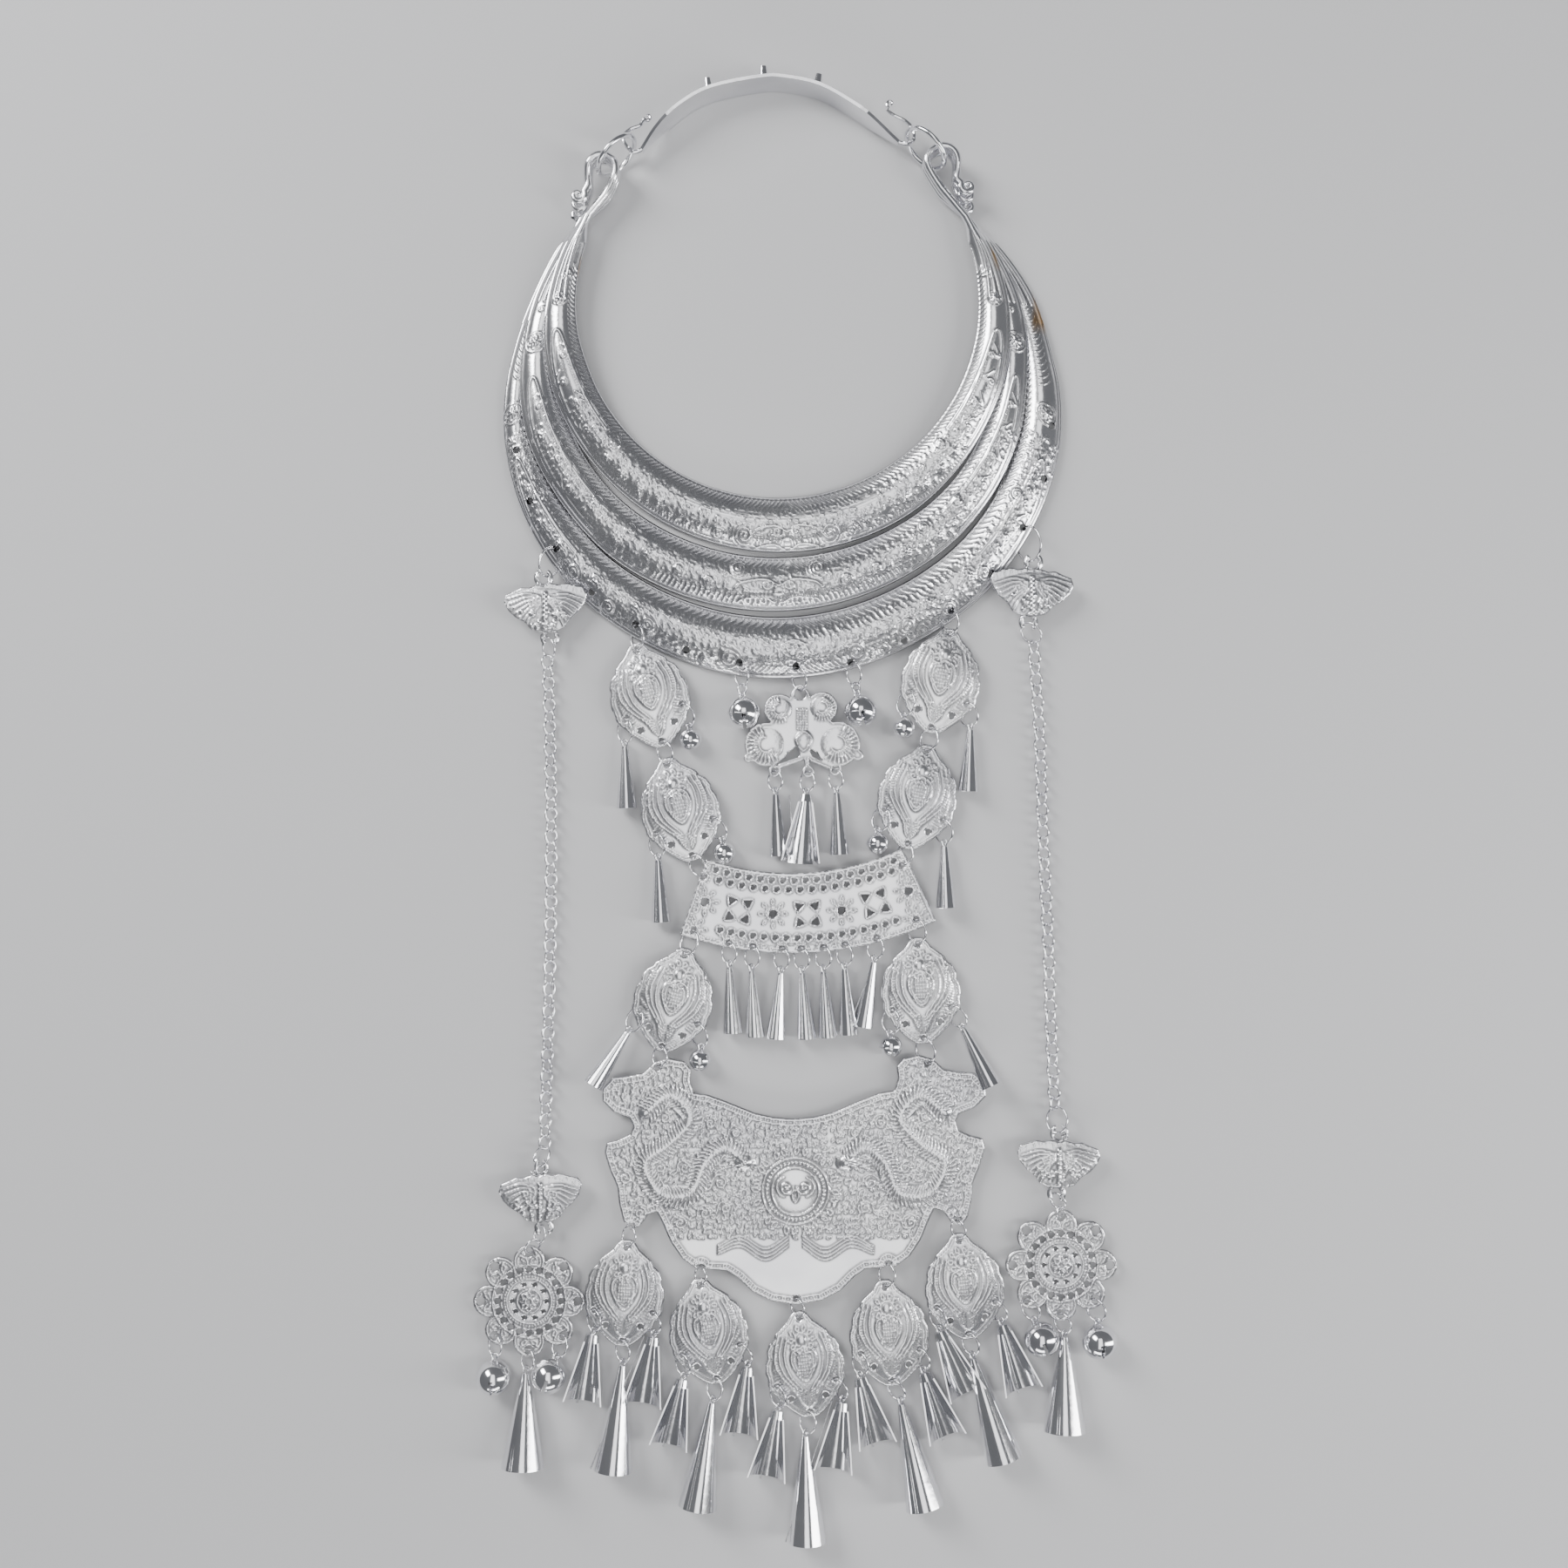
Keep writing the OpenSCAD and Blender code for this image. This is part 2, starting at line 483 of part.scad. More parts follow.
// Big plate: right half of its outline from the middle of its notch.
plate_origin = [6.6, -328.4];
plate_turn = 0.7;
plate_t = 0.7;
plate_half = [[0, 0], [8, 0.7], [15.5, 2.4], [27.5, 7.4], [34.5, 10], [40, 10.8], [41.6, 15.8],
    [41, 20.2], [43.8, 23.5], [50, 24.8], [55.5, 23.2], [60, 19], [65.5, 18], [72.2, 17.4],
    [76.4, 13], [76.6, 8], [72.2, 3.6], [66, 1.3], [64.4, -2], [65.5, -5.3], [70, -7.5], [75, -8.7],
    [76, -12.5], [73.8, -19.8], [71, -26.4], [70.4, -33], [68.8, -40], [66, -43.6], [62, -42],
    [58.8, -37.5], [55.5, -36.4], [53.3, -40.8], [50, -48.6], [45.5, -55.3], [40, -59.2],
    [32.2, -59.9], [27.7, -60.2], [23.3, -63.2], [17.8, -68.6], [10, -72.6], [0, -74.2]];
plate_holes = [[-48, -308], [59.6, -306.6], [-58.6, -371.2], [-30.6, -387.7], [7.3, -400],
    [44.2, -386.3], [71.8, -368.8]];
module big_plate() {
    outline = concat(plate_half, [for (p = backwards(plate_half)) if (p[0] > 0) [-p[0], p[1]]]);
    color(silver) difference() {
        translate([plate_origin[0], plate_origin[1], plate_z - plate_t / 2]) rotate([0, 0, plate_turn])
            linear_extrude(plate_t) polygon(outline);
        for (p = plate_holes) translate([p[0], p[1], 0]) cylinder(d = ring_hole_d, h = 9);
    }
}

// Rosettes: centre x, y.
rosettes = [[-99.3, -401.2], [113.1, -386.8]];
rosette_t = 0.8;
rosette_hole_r = 19.4;
module rosette(k) color(silver) translate([rosettes[k][0], rosettes[k][1], plate_z - rosette_t / 2])
    linear_extrude(rosette_t) difference() {
        union() {
            circle(17);
            for (i = [0 : 7]) rotate(i * 45) translate([16, 0]) circle(6.3);
        }
        for (i = [0 : 19]) rotate(i * 18) translate([12.7, 0]) circle(d = 2.7);
        for (i = [0 : 9]) rotate(i * 36) translate([6.9, 0]) circle(d = 1.8);
        for (i = [0 : 7]) rotate(i * 45) translate([rosette_hole_r, 0]) circle(d = 3.6);
    }
module rosette_left() rosette(0);
module rosette_right() rosette(1);

// Flower pendant: centre of its bail, then the holes of its three rings.
flower_at = [8.9, -159.4];
flower_t = 1.4;
flower_holes = [[-10.2, -30.2], [3.2, -30.4], [14, -29.6]];
// Flower: round parts of the sheet as x, y, radius, then the curls that hold the rings.
flower_rounds = [
    [0, -0.6, 4], [0, 2, 2.4], [-8.2, -5.6, 6.2], [8.8, -4.8, 6.2], [-3, -8, 5], [3.6, -7.8, 5],
    [-13.4, -19.6, 8.8], [15, -19.4, 9], [-7, -16, 7], [8.6, -16, 7], [-20.6, -25, 1.9],
    [23.2, -24, 2.1], [1.3, -15, 5.5], [1.5, -21, 2.6]
];
flower_left_curl = [[1.5, -19], [0.4, -25.2], [-3.6, -26.6], [-7.4, -28], [-10.2, -30.2]];
flower_middle_curl = [[1.5, -19], [2.6, -26.4], [3.2, -30.4]];
flower_right_curl = [[1.5, -19], [4.6, -25.4], [8.4, -27], [11.4, -28.2], [14, -29.6]];
curl_w = 2;
curl_end_r = 2.5;
curl_hole_d = 2.8;
bail_hole = [0, 0.4, 2.3];
module flower() color(silver) translate([flower_at[0], flower_at[1], plate_z - flower_t / 2])
    linear_extrude(flower_t) difference() {
        union() {
            for (r = flower_rounds) translate([r[0], r[1]]) circle(r[2]);
            for (c = [flower_left_curl, flower_middle_curl, flower_right_curl])
                for (i = [1 : len(c) - 1]) bar_between(c[i - 1], c[i], curl_w);
            for (h = flower_holes) translate(h) circle(curl_end_r);
        }
        translate([bail_hole[0], bail_hole[1]]) circle(bail_hole[2]);
        for (h = flower_holes) translate(h) circle(d = curl_hole_d);
    }
module bar_between(a, b, w) translate((a + b) / 2) rotate(atan2(b[1] - a[1], b[0] - a[0]))
    square([norm(b - a) + w / 2, w], true);
function flower_hole(i) = [flower_at[0] + flower_holes[i][0], flower_at[1] + flower_holes[i][1], plate_z];
flower_drops = [[3, "cone"], [-5, "fan"], [3, "cone"]];

// Small drops: the eye of each lies at the far side of its jump ring.
function eye_at(hole, turn, length) = let (v = length * down(turn)) [hole[0] + v[0], hole[1] + v[1], eye_z];
module leaf_drop(d, length) {
    hole = leaf_point(d[0], leaf_holes[d[1]]);
    drop(d[4], eye_at(hole, d[2], length), d[3], len(d) > 5 ? d[5] : 0);
}
module leaf_ring(d, length) {
    hole = leaf_point(d[0], leaf_holes[d[1]]);
    jump_ring(hole, eye_at(hole, d[2], length));
}
module upper_drop(i) color(silver) leaf_drop(upper_drops[i], reach);
module low_drop(i) color(silver) union() for (j = [0 : 2]) leaf_drop(low_drops[3 * i + j], low_reach);
module band_cones() color(silver) union() for (i = [0 : 6])
    drop("band", eye_at(band_at(band_hole_r, band_cone_holes[i]), band_cone_rows[i][0], 8.6), band_cone_rows[i][1]);
// Turn of the jump ring and of the cone under each of the band's cone holes.
band_cone_rows = [[2, 3], [-3, 3], [-3, -4], [3, 4], [0, 4], [-2, 4], [-7, -9]];
module flower_drops_all() color(silver) union() for (i = [0 : 2])
    drop(flower_drops[i][1], eye_at(flower_hole(i), flower_drops[i][0], 8), flower_drops[i][0]);

bell_first = 9.5;
bell_second = 4.4;
function rim_z(p) = let (
    phi = atan2(p[0], -p[1]),
    a = smooth(outer_edges, phi, 1),
    b = smooth(outer_edges, phi, 2),
    u = (2 * norm(p) - a - b) / (b - a)
) rim_lift + max(arch_ratio * (b - a), 2.9) * (1 - u * u) - crescent_wall / 2;
function rim_point(i) = [rim_holes[i][0], rim_holes[i][1], rim_z(rim_holes[i])];
function below(p, a, length, z) = let (v = length * down(a)) [p[0] + v[0], p[1] + v[1], z];
function bell_at(i, turn) = below(rim_point(i), turn, bell_first + bell_second - ring_wire - 0.2, bell_eye_z);
module torque_bell(i, turn) color(silver) {
    p = bell_at(i, turn);
    hung(p, turn, asin((torque_bell_d / 2 + 0.3 - bell_eye_z) / (torque_bell_d / 2 + eye_to_top)))
        bell(torque_bell_d, -1);
}
module torque_bell_left() torque_bell(hole_bell_left, 5);
module torque_bell_right() torque_bell(hole_bell_right, 12);

// Drops of each rosette, left to right: turn and reach of the jump ring.
rosette_drop_rows = [[[0, 8.6], [-9, 8], [-20, 8.8]], [[20, 8.8], [9, 8], [4, 8.8]]];
function rosette_hole(k, a) = let (v = rosette_hole_r * down(a))
    [rosettes[k][0] + v[0], rosettes[k][1] + v[1], plate_z];
module rosette_drops(k) color(silver) union() {
    for (j = [0, 2]) {
        row = rosette_drop_rows[k][j];
        p = eye_at(rosette_hole(k, 45 * (j - 1)), row[0], row[1]);
        hung(p, row[0], asin((rosette_bell_d / 2 + 0.3 - eye_z) / (rosette_bell_d / 2 + 1)))
            bell(rosette_bell_d);
    }
    drop("rosette", eye_at(rosette_hole(k, 0), rosette_drop_rows[k][1][0], rosette_drop_rows[k][1][1]), -1);
}
// Rings that pass round the rim of the outer crescent lean more, to clear it.
rim_lean = 56;
rim_shift = 0.6;
bell_eye_z = 4.8;
module rim_ring(i, b, hand = 1) jump_ring(rim_point(i) + [hand * rim_shift, 0, 0], b, hand, rim_lean);
module rings_torque() color(silver) union() {
    rim_ring(hole_butterfly_left, ear(0, true) + [0.3, 0.9, 0], -1);
    rim_ring(hole_butterfly_right, ear(1, true) + [0, 0.9, 0.6]);
    rim_ring(hole_leaf_left, leaf_point(0, [0, 0]));
    rim_ring(hole_leaf_right, leaf_point(3, [0, 0]));
    rim_ring(hole_flower, [flower_at[0], flower_at[1] + 1.9, plate_z]);
    for (b = [[hole_bell_left, 5], [hole_bell_right, 12]])
        two_rings(rim_point(b[0]) + [rim_shift, 0, 0], bell_at(b[0], b[1]), bell_first, rim_lean);
}
module rings_between_plates() color(silver) union() {
    foot = [0, -leaf_len];
    link_ring(leaf_point(0, foot), leaf_point(1, [0, 0]));
    link_ring(leaf_point(3, foot), leaf_point(4, [0, 0]));
    link_ring(leaf_point(1, foot), band_at(band_corners[0][0], band_corners[0][1]));
    link_ring(leaf_point(4, foot), band_at(band_corners[2][0], band_corners[2][1]));
    link_ring(band_at(band_corners[1][0], band_corners[1][1]), leaf_point(2, [0, 0]));
    link_ring(band_at(band_corners[3][0], band_corners[3][1]), leaf_point(5, [0, 0]));
    for (i = [0, 1]) link_ring(leaf_point(i * 3 + 2, foot), [plate_holes[i][0], plate_holes[i][1], plate_z]);
    for (i = [0 : 4]) link_ring([plate_holes[i + 2][0], plate_holes[i + 2][1], plate_z], leaf_point(6 + i, [0, 0]));
}
module rings_upper_drops() color(silver) union() for (d = upper_drops) leaf_ring(d, reach);
module rings_low_drops() color(silver) union() for (d = low_drops) leaf_ring(d, low_reach);
module rings_band() color(silver) union() for (i = [0 : 6]) {
    hole = band_at(band_hole_r, band_cone_holes[i]);
    jump_ring(hole, eye_at(hole, band_cone_rows[i][0], 8.6));
}
module rings_flower() color(silver) union() for (i = [0 : 2])
    jump_ring(flower_hole(i), eye_at(flower_hole(i), flower_drops[i][0], 8));
module rings_rosettes() color(silver) union() for (k = [0, 1]) {
    for (j = [0 : 2]) {
        hole = rosette_hole(k, 45 * (j - 1));
        jump_ring(hole, eye_at(hole, rosette_drop_rows[k][j][0], rosette_drop_rows[k][j][1]));
    }
    two_rings(ear(k + 2, false), rosette_hole(k, 180), 7);
}
module rings_chains() color(silver) union() for (k = [0, 1]) {
    rows = k == 0 ? left_chain : right_chain;
    jump_ring(ear(k, false) + [0, -0.3, 0], first_link(rows, true) + [0, 1.5, 0]);
    jump_ring(first_link(rows, false) + [0, -1.5, 0], ear(k + 2, true) + [0, 0.3, 0]);
}

upper_names = ["cone_left_1", "bell_left_1", "cone_left_2", "bell_left_2", "cone_left_3", "bell_left_3",
    "cone_right_1", "bell_right_1", "cone_right_2", "bell_right_2", "cone_right_3", "bell_right_3"];
low_names = ["drops_low_1", "drops_low_2", "drops_low_3", "drops_low_4", "drops_low_5"];
crescent_inner();
crescent_middle();
crescent_outer();
back_bar();
clasp_ring_left();
clasp_ring_right();
butterfly_left_top();
butterfly_right_top();
butterfly_left_low();
butterfly_right_low();
chain_left();
chain_right();
flower();
lattice_band();
big_plate();
rosette_left();
rosette_right();
torque_bell_left();
torque_bell_right();
band_cones();
flower_drops_all();  // flower_drops
rosette_drops(0);  // rosette_drops_left
rosette_drops(1);  // rosette_drops_right
rings_torque();
rings_between_plates();
rings_upper_drops();
rings_low_drops();
rings_band();
rings_flower();
rings_rosettes();
rings_chains();
for (k = [0 : len(leaves) - 1]) leaf(k);
for (k = [0 : len(upper_names) - 1]) upper_drop(k);
for (k = [0 : len(low_names) - 1]) low_drop(k);
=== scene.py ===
"""Looks of a hmong silver torque that lies face up: embossed crescents, relief plates,
chains, bells and rolled cones in bright silver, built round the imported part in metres."""
import math

import bpy
import numpy as np
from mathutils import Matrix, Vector
from mathutils.bvhtree import BVHTree
from mathutils.geometry import delaunay_2d_cdt


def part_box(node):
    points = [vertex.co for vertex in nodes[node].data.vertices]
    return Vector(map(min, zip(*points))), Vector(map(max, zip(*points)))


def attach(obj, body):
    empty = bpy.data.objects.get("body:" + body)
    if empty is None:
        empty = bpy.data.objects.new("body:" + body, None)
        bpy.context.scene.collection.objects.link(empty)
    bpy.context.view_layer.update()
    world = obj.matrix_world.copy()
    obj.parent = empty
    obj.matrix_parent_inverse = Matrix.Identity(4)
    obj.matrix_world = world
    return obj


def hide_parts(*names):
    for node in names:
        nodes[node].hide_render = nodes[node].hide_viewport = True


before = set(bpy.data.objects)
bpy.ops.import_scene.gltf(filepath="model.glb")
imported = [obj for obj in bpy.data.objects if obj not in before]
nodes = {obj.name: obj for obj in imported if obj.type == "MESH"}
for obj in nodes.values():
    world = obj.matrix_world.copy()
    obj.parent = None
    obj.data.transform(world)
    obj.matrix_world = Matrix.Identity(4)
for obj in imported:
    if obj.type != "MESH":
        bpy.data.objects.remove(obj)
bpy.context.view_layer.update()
MM = 0.001
rng = np.random.default_rng(7)


# Vectors and curves, in millimetres

def turn(points, degrees):
    """Points of shape (n, 2) turned about the origin."""
    a = math.radians(degrees)
    points = np.atleast_2d(points)
    x, y = points[:, 0], points[:, 1]
    return np.stack([x * math.cos(a) - y * math.sin(a), x * math.sin(a) + y * math.cos(a)], 1)


def place(points, at, degrees=0.0, size=1.0):
    """Points scaled, turned and moved to a place."""
    return turn(np.asarray(points, float) * size, degrees) + np.asarray(at, float)


def arc(centre, r, start, end, step=0.12):
    """Points along a circular arc, angles in degrees."""
    n = max(int(abs(math.radians(end - start)) * r / step), 3)
    a = np.radians(np.linspace(start, end, n))
    return np.stack([centre[0] + r * np.cos(a), centre[1] + r * np.sin(a)], 1)


def spiral(centre, r, turns, start=0.0, hand=1, inner=0.08, step=0.12):
    """Points along a spiral from its outer end into its eye."""
    n = max(int(turns * math.pi * r * (1 + inner) / step), 8)
    t = np.linspace(0, 1, n)
    radius = r * (1 - t * (1 - inner))
    a = math.radians(start) + hand * 2 * math.pi * turns * t
    return np.stack([centre[0] + radius * np.cos(a), centre[1] + radius * np.sin(a)], 1)


def smooth_line(points, step=0.12):
    """A smooth curve through a few points, with closely spaced samples."""
    p = np.asarray(points, float)
    ends = [2 * p[0] - p[1], 2 * p[-1] - p[-2]]
    q = np.concatenate([[ends[0]], p, [ends[1]]])
    out = []
    for i in range(len(p) - 1):
        a, b, c, d = q[i], q[i + 1], q[i + 2], q[i + 3]
        n = max(int(np.linalg.norm(c - b) / step), 2)
        t = np.linspace(0, 1, n, endpoint=False)[:, None]
        out.append(0.5 * (2 * b + (c - a) * t + (2 * a - 5 * b + 4 * c - d) * t ** 2
                          + (3 * b - a - 3 * c + d) * t ** 3))
    out.append(p[-1:])
    return np.concatenate(out)


def closed_line(points, step=0.12):
    """A smooth closed curve through a few points."""
    p = np.asarray(points, float)
    wrapped = np.concatenate([p[-2:], p, p[:2]])
    line = smooth_line(wrapped, step)
    starts = np.argmin(np.linalg.norm(line - p[0], axis=1))
    ends = len(line) - 1 - np.argmin(np.linalg.norm(line[::-1] - p[-1], axis=1))
    return np.concatenate([line[starts:ends], smooth_line([p[-1], p[0]], step)])


def distance_along(points):
    """How far each point of a line lies from its start."""
    return np.concatenate([[0], np.cumsum(np.linalg.norm(np.diff(points, axis=0), axis=1))])


def lens(at, length, width, degrees):
    """Outline of a pointed leaf that starts at a place and runs in a direction."""
    t = np.linspace(0, 1, 14)
    side = width / 2 * np.sin(math.pi * t) ** 0.8
    upper = np.stack([t * length, side], 1)
    lower = np.stack([t * length, -side], 1)[::-1]
    return place(np.concatenate([upper, lower]), at, degrees)


# Relief maps

class Relief:
    """A height map in millimetres over a rectangle, drawn with rounded strokes."""

    def __init__(self, low, high, cell=0.1):
        self.low = np.asarray(low, float)
        self.cell = cell
        size = np.ceil((np.asarray(high, float) - self.low) / cell).astype(int) + 1
        self.h = np.zeros((size[1], size[0]), np.float32)
        self.base = np.zeros_like(self.h)

    def dots(self, points, width, height):
        """Rounded bumps at points; a line of close bumps is a stroke."""
        points = np.atleast_2d(points)
        k = int(math.ceil(width / 2 / self.cell))
        span = np.arange(-k, k + 1)
        at = (points - self.low) / self.cell
        base = np.round(at).astype(int)
        rows, cols = self.h.shape
        for dy in span:
            for dx in span:
                x = base[:, 0] + dx
                y = base[:, 1] + dy
                d = np.hypot(x - at[:, 0], y - at[:, 1]) * self.cell / (width / 2)
                ok = (x >= 0) & (x < cols) & (y >= 0) & (y < rows) & (d < 1)
                value = height * np.sqrt(np.maximum(0, 1 - d[ok] ** 2))
                np.maximum.at(self.h, (y[ok], x[ok]), value.astype(np.float32))

    def stroke(self, points, width=0.6, height=0.35):
        """A raised line along points, filled in where they are far apart."""
        p = np.asarray(points, float)
        parts = [p[:1]]
        for i, gap in enumerate(np.diff(distance_along(p))):
            n = max(int(gap / 0.12), 1)
            t = np.arange(1, n + 1)[:, None] / n
            parts.append(p[i] + (p[i + 1] - p[i]) * t)
        self.dots(np.concatenate(parts), width, height)

    def beads(self, points, pitch, width, height):
        """A row of beads along a line."""
        p = np.asarray(points, float)
        run = distance_along(p)
        n = max(int(round(run[-1] / pitch)), 1)
        s = np.linspace(0, run[-1], n + 1)
        self.dots(np.stack([np.interp(s, run, p[:, 0]), np.interp(s, run, p[:, 1])], 1), width, height)

    def dome(self, centre, radii, height):
        """A soft mound that other strokes stand on."""
        rows, cols = self.h.shape
        reach = int(max(radii) / self.cell) + 2
        c = ((np.asarray(centre) - self.low) / self.cell).astype(int)
        x0, x1 = max(c[0] - reach, 0), min(c[0] + reach, cols)
        y0, y1 = max(c[1] - reach, 0), min(c[1] + reach, rows)
        gx, gy = np.meshgrid(np.arange(x0, x1), np.arange(y0, y1))
        p = np.stack([gx.ravel(), gy.ravel()], 1) * self.cell + self.low - centre
        value = height * np.clip(1 - ((p / radii) ** 2).sum(1), 0, 1) ** 0.7
        part = self.base[y0:y1, x0:x1]
        part += value.reshape(part.shape).astype(np.float32)

    def read(self, h, points):
        """Values of a map at points, by straight-line interpolation."""
        rows, cols = h.shape
        q = (points - self.low) / self.cell
        x = np.clip(q[:, 0], 0, cols - 1.001)
        y = np.clip(q[:, 1], 0, rows - 1.001)
        i, j = x.astype(int), y.astype(int)
        u, v = x - i, y - j
        return ((1 - u) * (1 - v) * h[j, i] + u * (1 - v) * h[j, i + 1]
                + (1 - u) * v * h[j + 1, i] + u * v * h[j + 1, i + 1])

    def at(self, points):
        """Heights at points: the mounds and the strokes on them."""
        return self.read(self.h, points) + self.read(self.base, points)

    def recess_shade(self, points, reach=0.9):
        """Painted shade at each point, from 0 to 1: how much lower it lies than the relief round it."""
        k = max(int(reach / self.cell), 1)
        padded = np.pad(self.h, k, mode="edge")
        total = np.cumsum(np.cumsum(np.pad(padded, ((1, 0), (1, 0))), 0), 1)
        n = 2 * k + 1
        mean = (total[n:, n:] - total[:-n, n:] - total[n:, :-n] + total[:-n, :-n]) / n ** 2
        below = self.read(mean - self.h, points)
        return np.clip(below / 0.13 + 0.04, 0, 1)


# Materials

SILVER = (0.93, 0.93, 0.945)
# Colour of the painted shade in the recesses of the relief and under the parts.
SHADE = 0.16
BRASS = (0.62, 0.36, 0.13, 1)


def silver(name, rough=0.17, grain=700.0, grain_depth=0.12, warm=0.0):
    """Bright silver plate with painted shade in the recesses of its relief, with a fine chased grain."""
    m = bpy.data.materials.new(name)
    m.use_nodes = True
    tree = m.node_tree
    tree.nodes.clear()
    link = tree.links.new

    def new(kind, **settings):
        made = tree.nodes.new("ShaderNode" + kind)
        for label, value in settings.items():
            made.inputs[label.replace("_", " ")].default_value = value
        return made

    out = new("OutputMaterial")
    body = new("BsdfPrincipled", Metallic=1.0)
    painted_shade = new("Attribute")
    painted_shade.attribute_name = "painted_shade"
    place_in = new("TexCoord")
    cloud = new("TexNoise", Scale=38.0, Detail=3.0)
    patch = new("ValToRGB")
    dim, bright = patch.color_ramp.elements
    dim.position = 0.38
    dim.color = (SILVER[0] * 0.86, SILVER[1] * 0.86, SILVER[2] * 0.88, 1)
    bright.position = 0.62
    bright.color = (*SILVER, 1)
    # Painted shade: the colour is mixed towards SHADE by the mesh's per-point shade amount, up to 0.86.
    dark = new("MixRGB", Color2=(SHADE, SHADE, SHADE * 1.06, 1))
    amount = new("Math")
    amount.operation = "MULTIPLY"
    amount.inputs[1].default_value = 0.86
    matte = new("MapRange", To_Min=rough, To_Max=0.5)
    fine = new("TexNoise", Scale=grain, Detail=2.0)
    bump = new("Bump", Strength=grain_depth, Distance=0.0004)
    link(place_in.outputs["Object"], cloud.inputs["Vector"])
    link(place_in.outputs["Object"], fine.inputs["Vector"])
    link(cloud.outputs["Fac"], patch.inputs["Fac"])
    link(painted_shade.outputs["Fac"], amount.inputs[0])
    link(amount.outputs["Value"], dark.inputs["Fac"])
    link(amount.outputs["Value"], matte.inputs["Value"])
    link(patch.outputs["Color"], dark.inputs["Color1"])
    link(matte.outputs["Result"], body.inputs["Roughness"])
    link(fine.outputs["Fac"], bump.inputs["Height"])
    link(bump.outputs["Normal"], body.inputs["Normal"])
    colour = dark.outputs["Color"]
    if warm:
        gilt = new("Attribute")
        gilt.attribute_name = "gilt"
        gold = new("MixRGB", Color2=BRASS)
        strength = new("Math")
        strength.operation = "MULTIPLY"
        strength.inputs[1].default_value = warm
        link(gilt.outputs["Fac"], strength.inputs[0])
        link(strength.outputs["Value"], gold.inputs["Fac"])
        link(colour, gold.inputs["Color1"])
        colour = gold.outputs["Color"]
    link(colour, body.inputs["Base Color"])
    link(body.outputs["BSDF"], out.inputs["Surface"])
    return m


EMBOSSED = silver("embossed_silver", warm=0.85)
SHEET = silver("relief_silver", rough=0.2, grain=900.0)
SMOOTH = silver("polished_silver", rough=0.13, grain=260.0, grain_depth=0.08)
WIRE = silver("wire_silver", rough=0.15, grain=500.0, grain_depth=0.06)
CAST = silver("cast_silver", rough=0.24, grain=520.0, grain_depth=0.3)


# Meshes

def make(name, points, faces, material, painted_shade=None, gilt=None, node_names=()):
    """A mesh object from points in millimetres, which stands for the named CAD nodes."""
    mesh = bpy.data.meshes.new(name)
    points = np.asarray(points, float)
    if isinstance(faces, np.ndarray):
        n, k = faces.shape
        mesh.vertices.add(len(points))
        mesh.vertices.foreach_set("co", (points * MM).ravel())
        mesh.loops.add(n * k)
        mesh.loops.foreach_set("vertex_index", faces.ravel().astype(np.int32))
        mesh.polygons.add(n)
        mesh.polygons.foreach_set("loop_start", np.arange(0, n * k, k, dtype=np.int32))
        mesh.polygons.foreach_set("loop_total", np.full(n, k, dtype=np.int32))
        mesh.update(calc_edges=True)
    else:
        mesh.from_pydata([tuple(p) for p in points * MM], [], [tuple(f) for f in faces])
    mesh.validate()
    # One layer carries the painted shade amount, the other the worn brass.
    for label, values in (("painted_shade", painted_shade), ("gilt", gilt)):
        if values is not None and len(mesh.vertices) == len(values):
            layer = mesh.attributes.new(label, "FLOAT", "POINT")
            layer.data.foreach_set("value", np.asarray(values, np.float32))
    mesh.polygons.foreach_set("use_smooth", [True] * len(mesh.polygons))
    mesh.materials.append(material)
    piece = bpy.data.objects.new(name, mesh)
    bpy.context.scene.collection.objects.link(piece)
    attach(piece, "root")
    if node_names:
        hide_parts(*node_names)
    return piece


def quads(rows, cols, closed=False, start=0):
    """Faces of a grid of rows by cols points, counted from start."""
    i = np.arange(rows - 1)[:, None]
    j = np.arange(cols if closed else cols - 1)[None, :]
    k = (j + 1) % cols
    a = i * cols + j
    b = i * cols + k
    c = (i + 1) * cols + k
    d = (i + 1) * cols + j
    return np.stack([a, b, c, d], -1).reshape(-1, 4) + start


def tube(path, radius, sides=10, closed=False):
    """Points and quads of a round wire along a path; radius is one value or one a point."""
    p = np.asarray(path, float)
    n = len(p)
    r = np.broadcast_to(np.asarray(radius, float), (n,))
    if closed:
        d = np.roll(p, -1, 0) - np.roll(p, 1, 0)
    else:
        d = np.gradient(p, axis=0)
    d /= np.maximum(np.linalg.norm(d, axis=1, keepdims=True), 1e-9)
    side = np.cross(d, [0.0, 0.0, 1.0])
    weak = np.linalg.norm(side, axis=1) < 1e-3
    side[weak] = np.cross(d[weak], [1.0, 0.0, 0.0])
    for i in range(1, n):
        side[i] = side[i] if side[i] @ side[i - 1] >= 0 else -side[i]
    side /= np.linalg.norm(side, axis=1, keepdims=True)
    up = np.cross(side, d)
    a = np.linspace(0, 2 * math.pi, sides, endpoint=False)
    ring = (side[:, None] * np.cos(a)[None, :, None] + up[:, None] * np.sin(a)[None, :, None])
    points = (p[:, None] + ring * r[:, None, None]).reshape(-1, 3)
    faces = quads(n, sides, closed=True)
    if closed:
        last = np.arange(sides)
        nxt = (last + 1) % sides
        top = (n - 1) * sides
        faces = np.concatenate([faces, np.stack([top + last, top + nxt, nxt, last], 1)])
    return points, faces


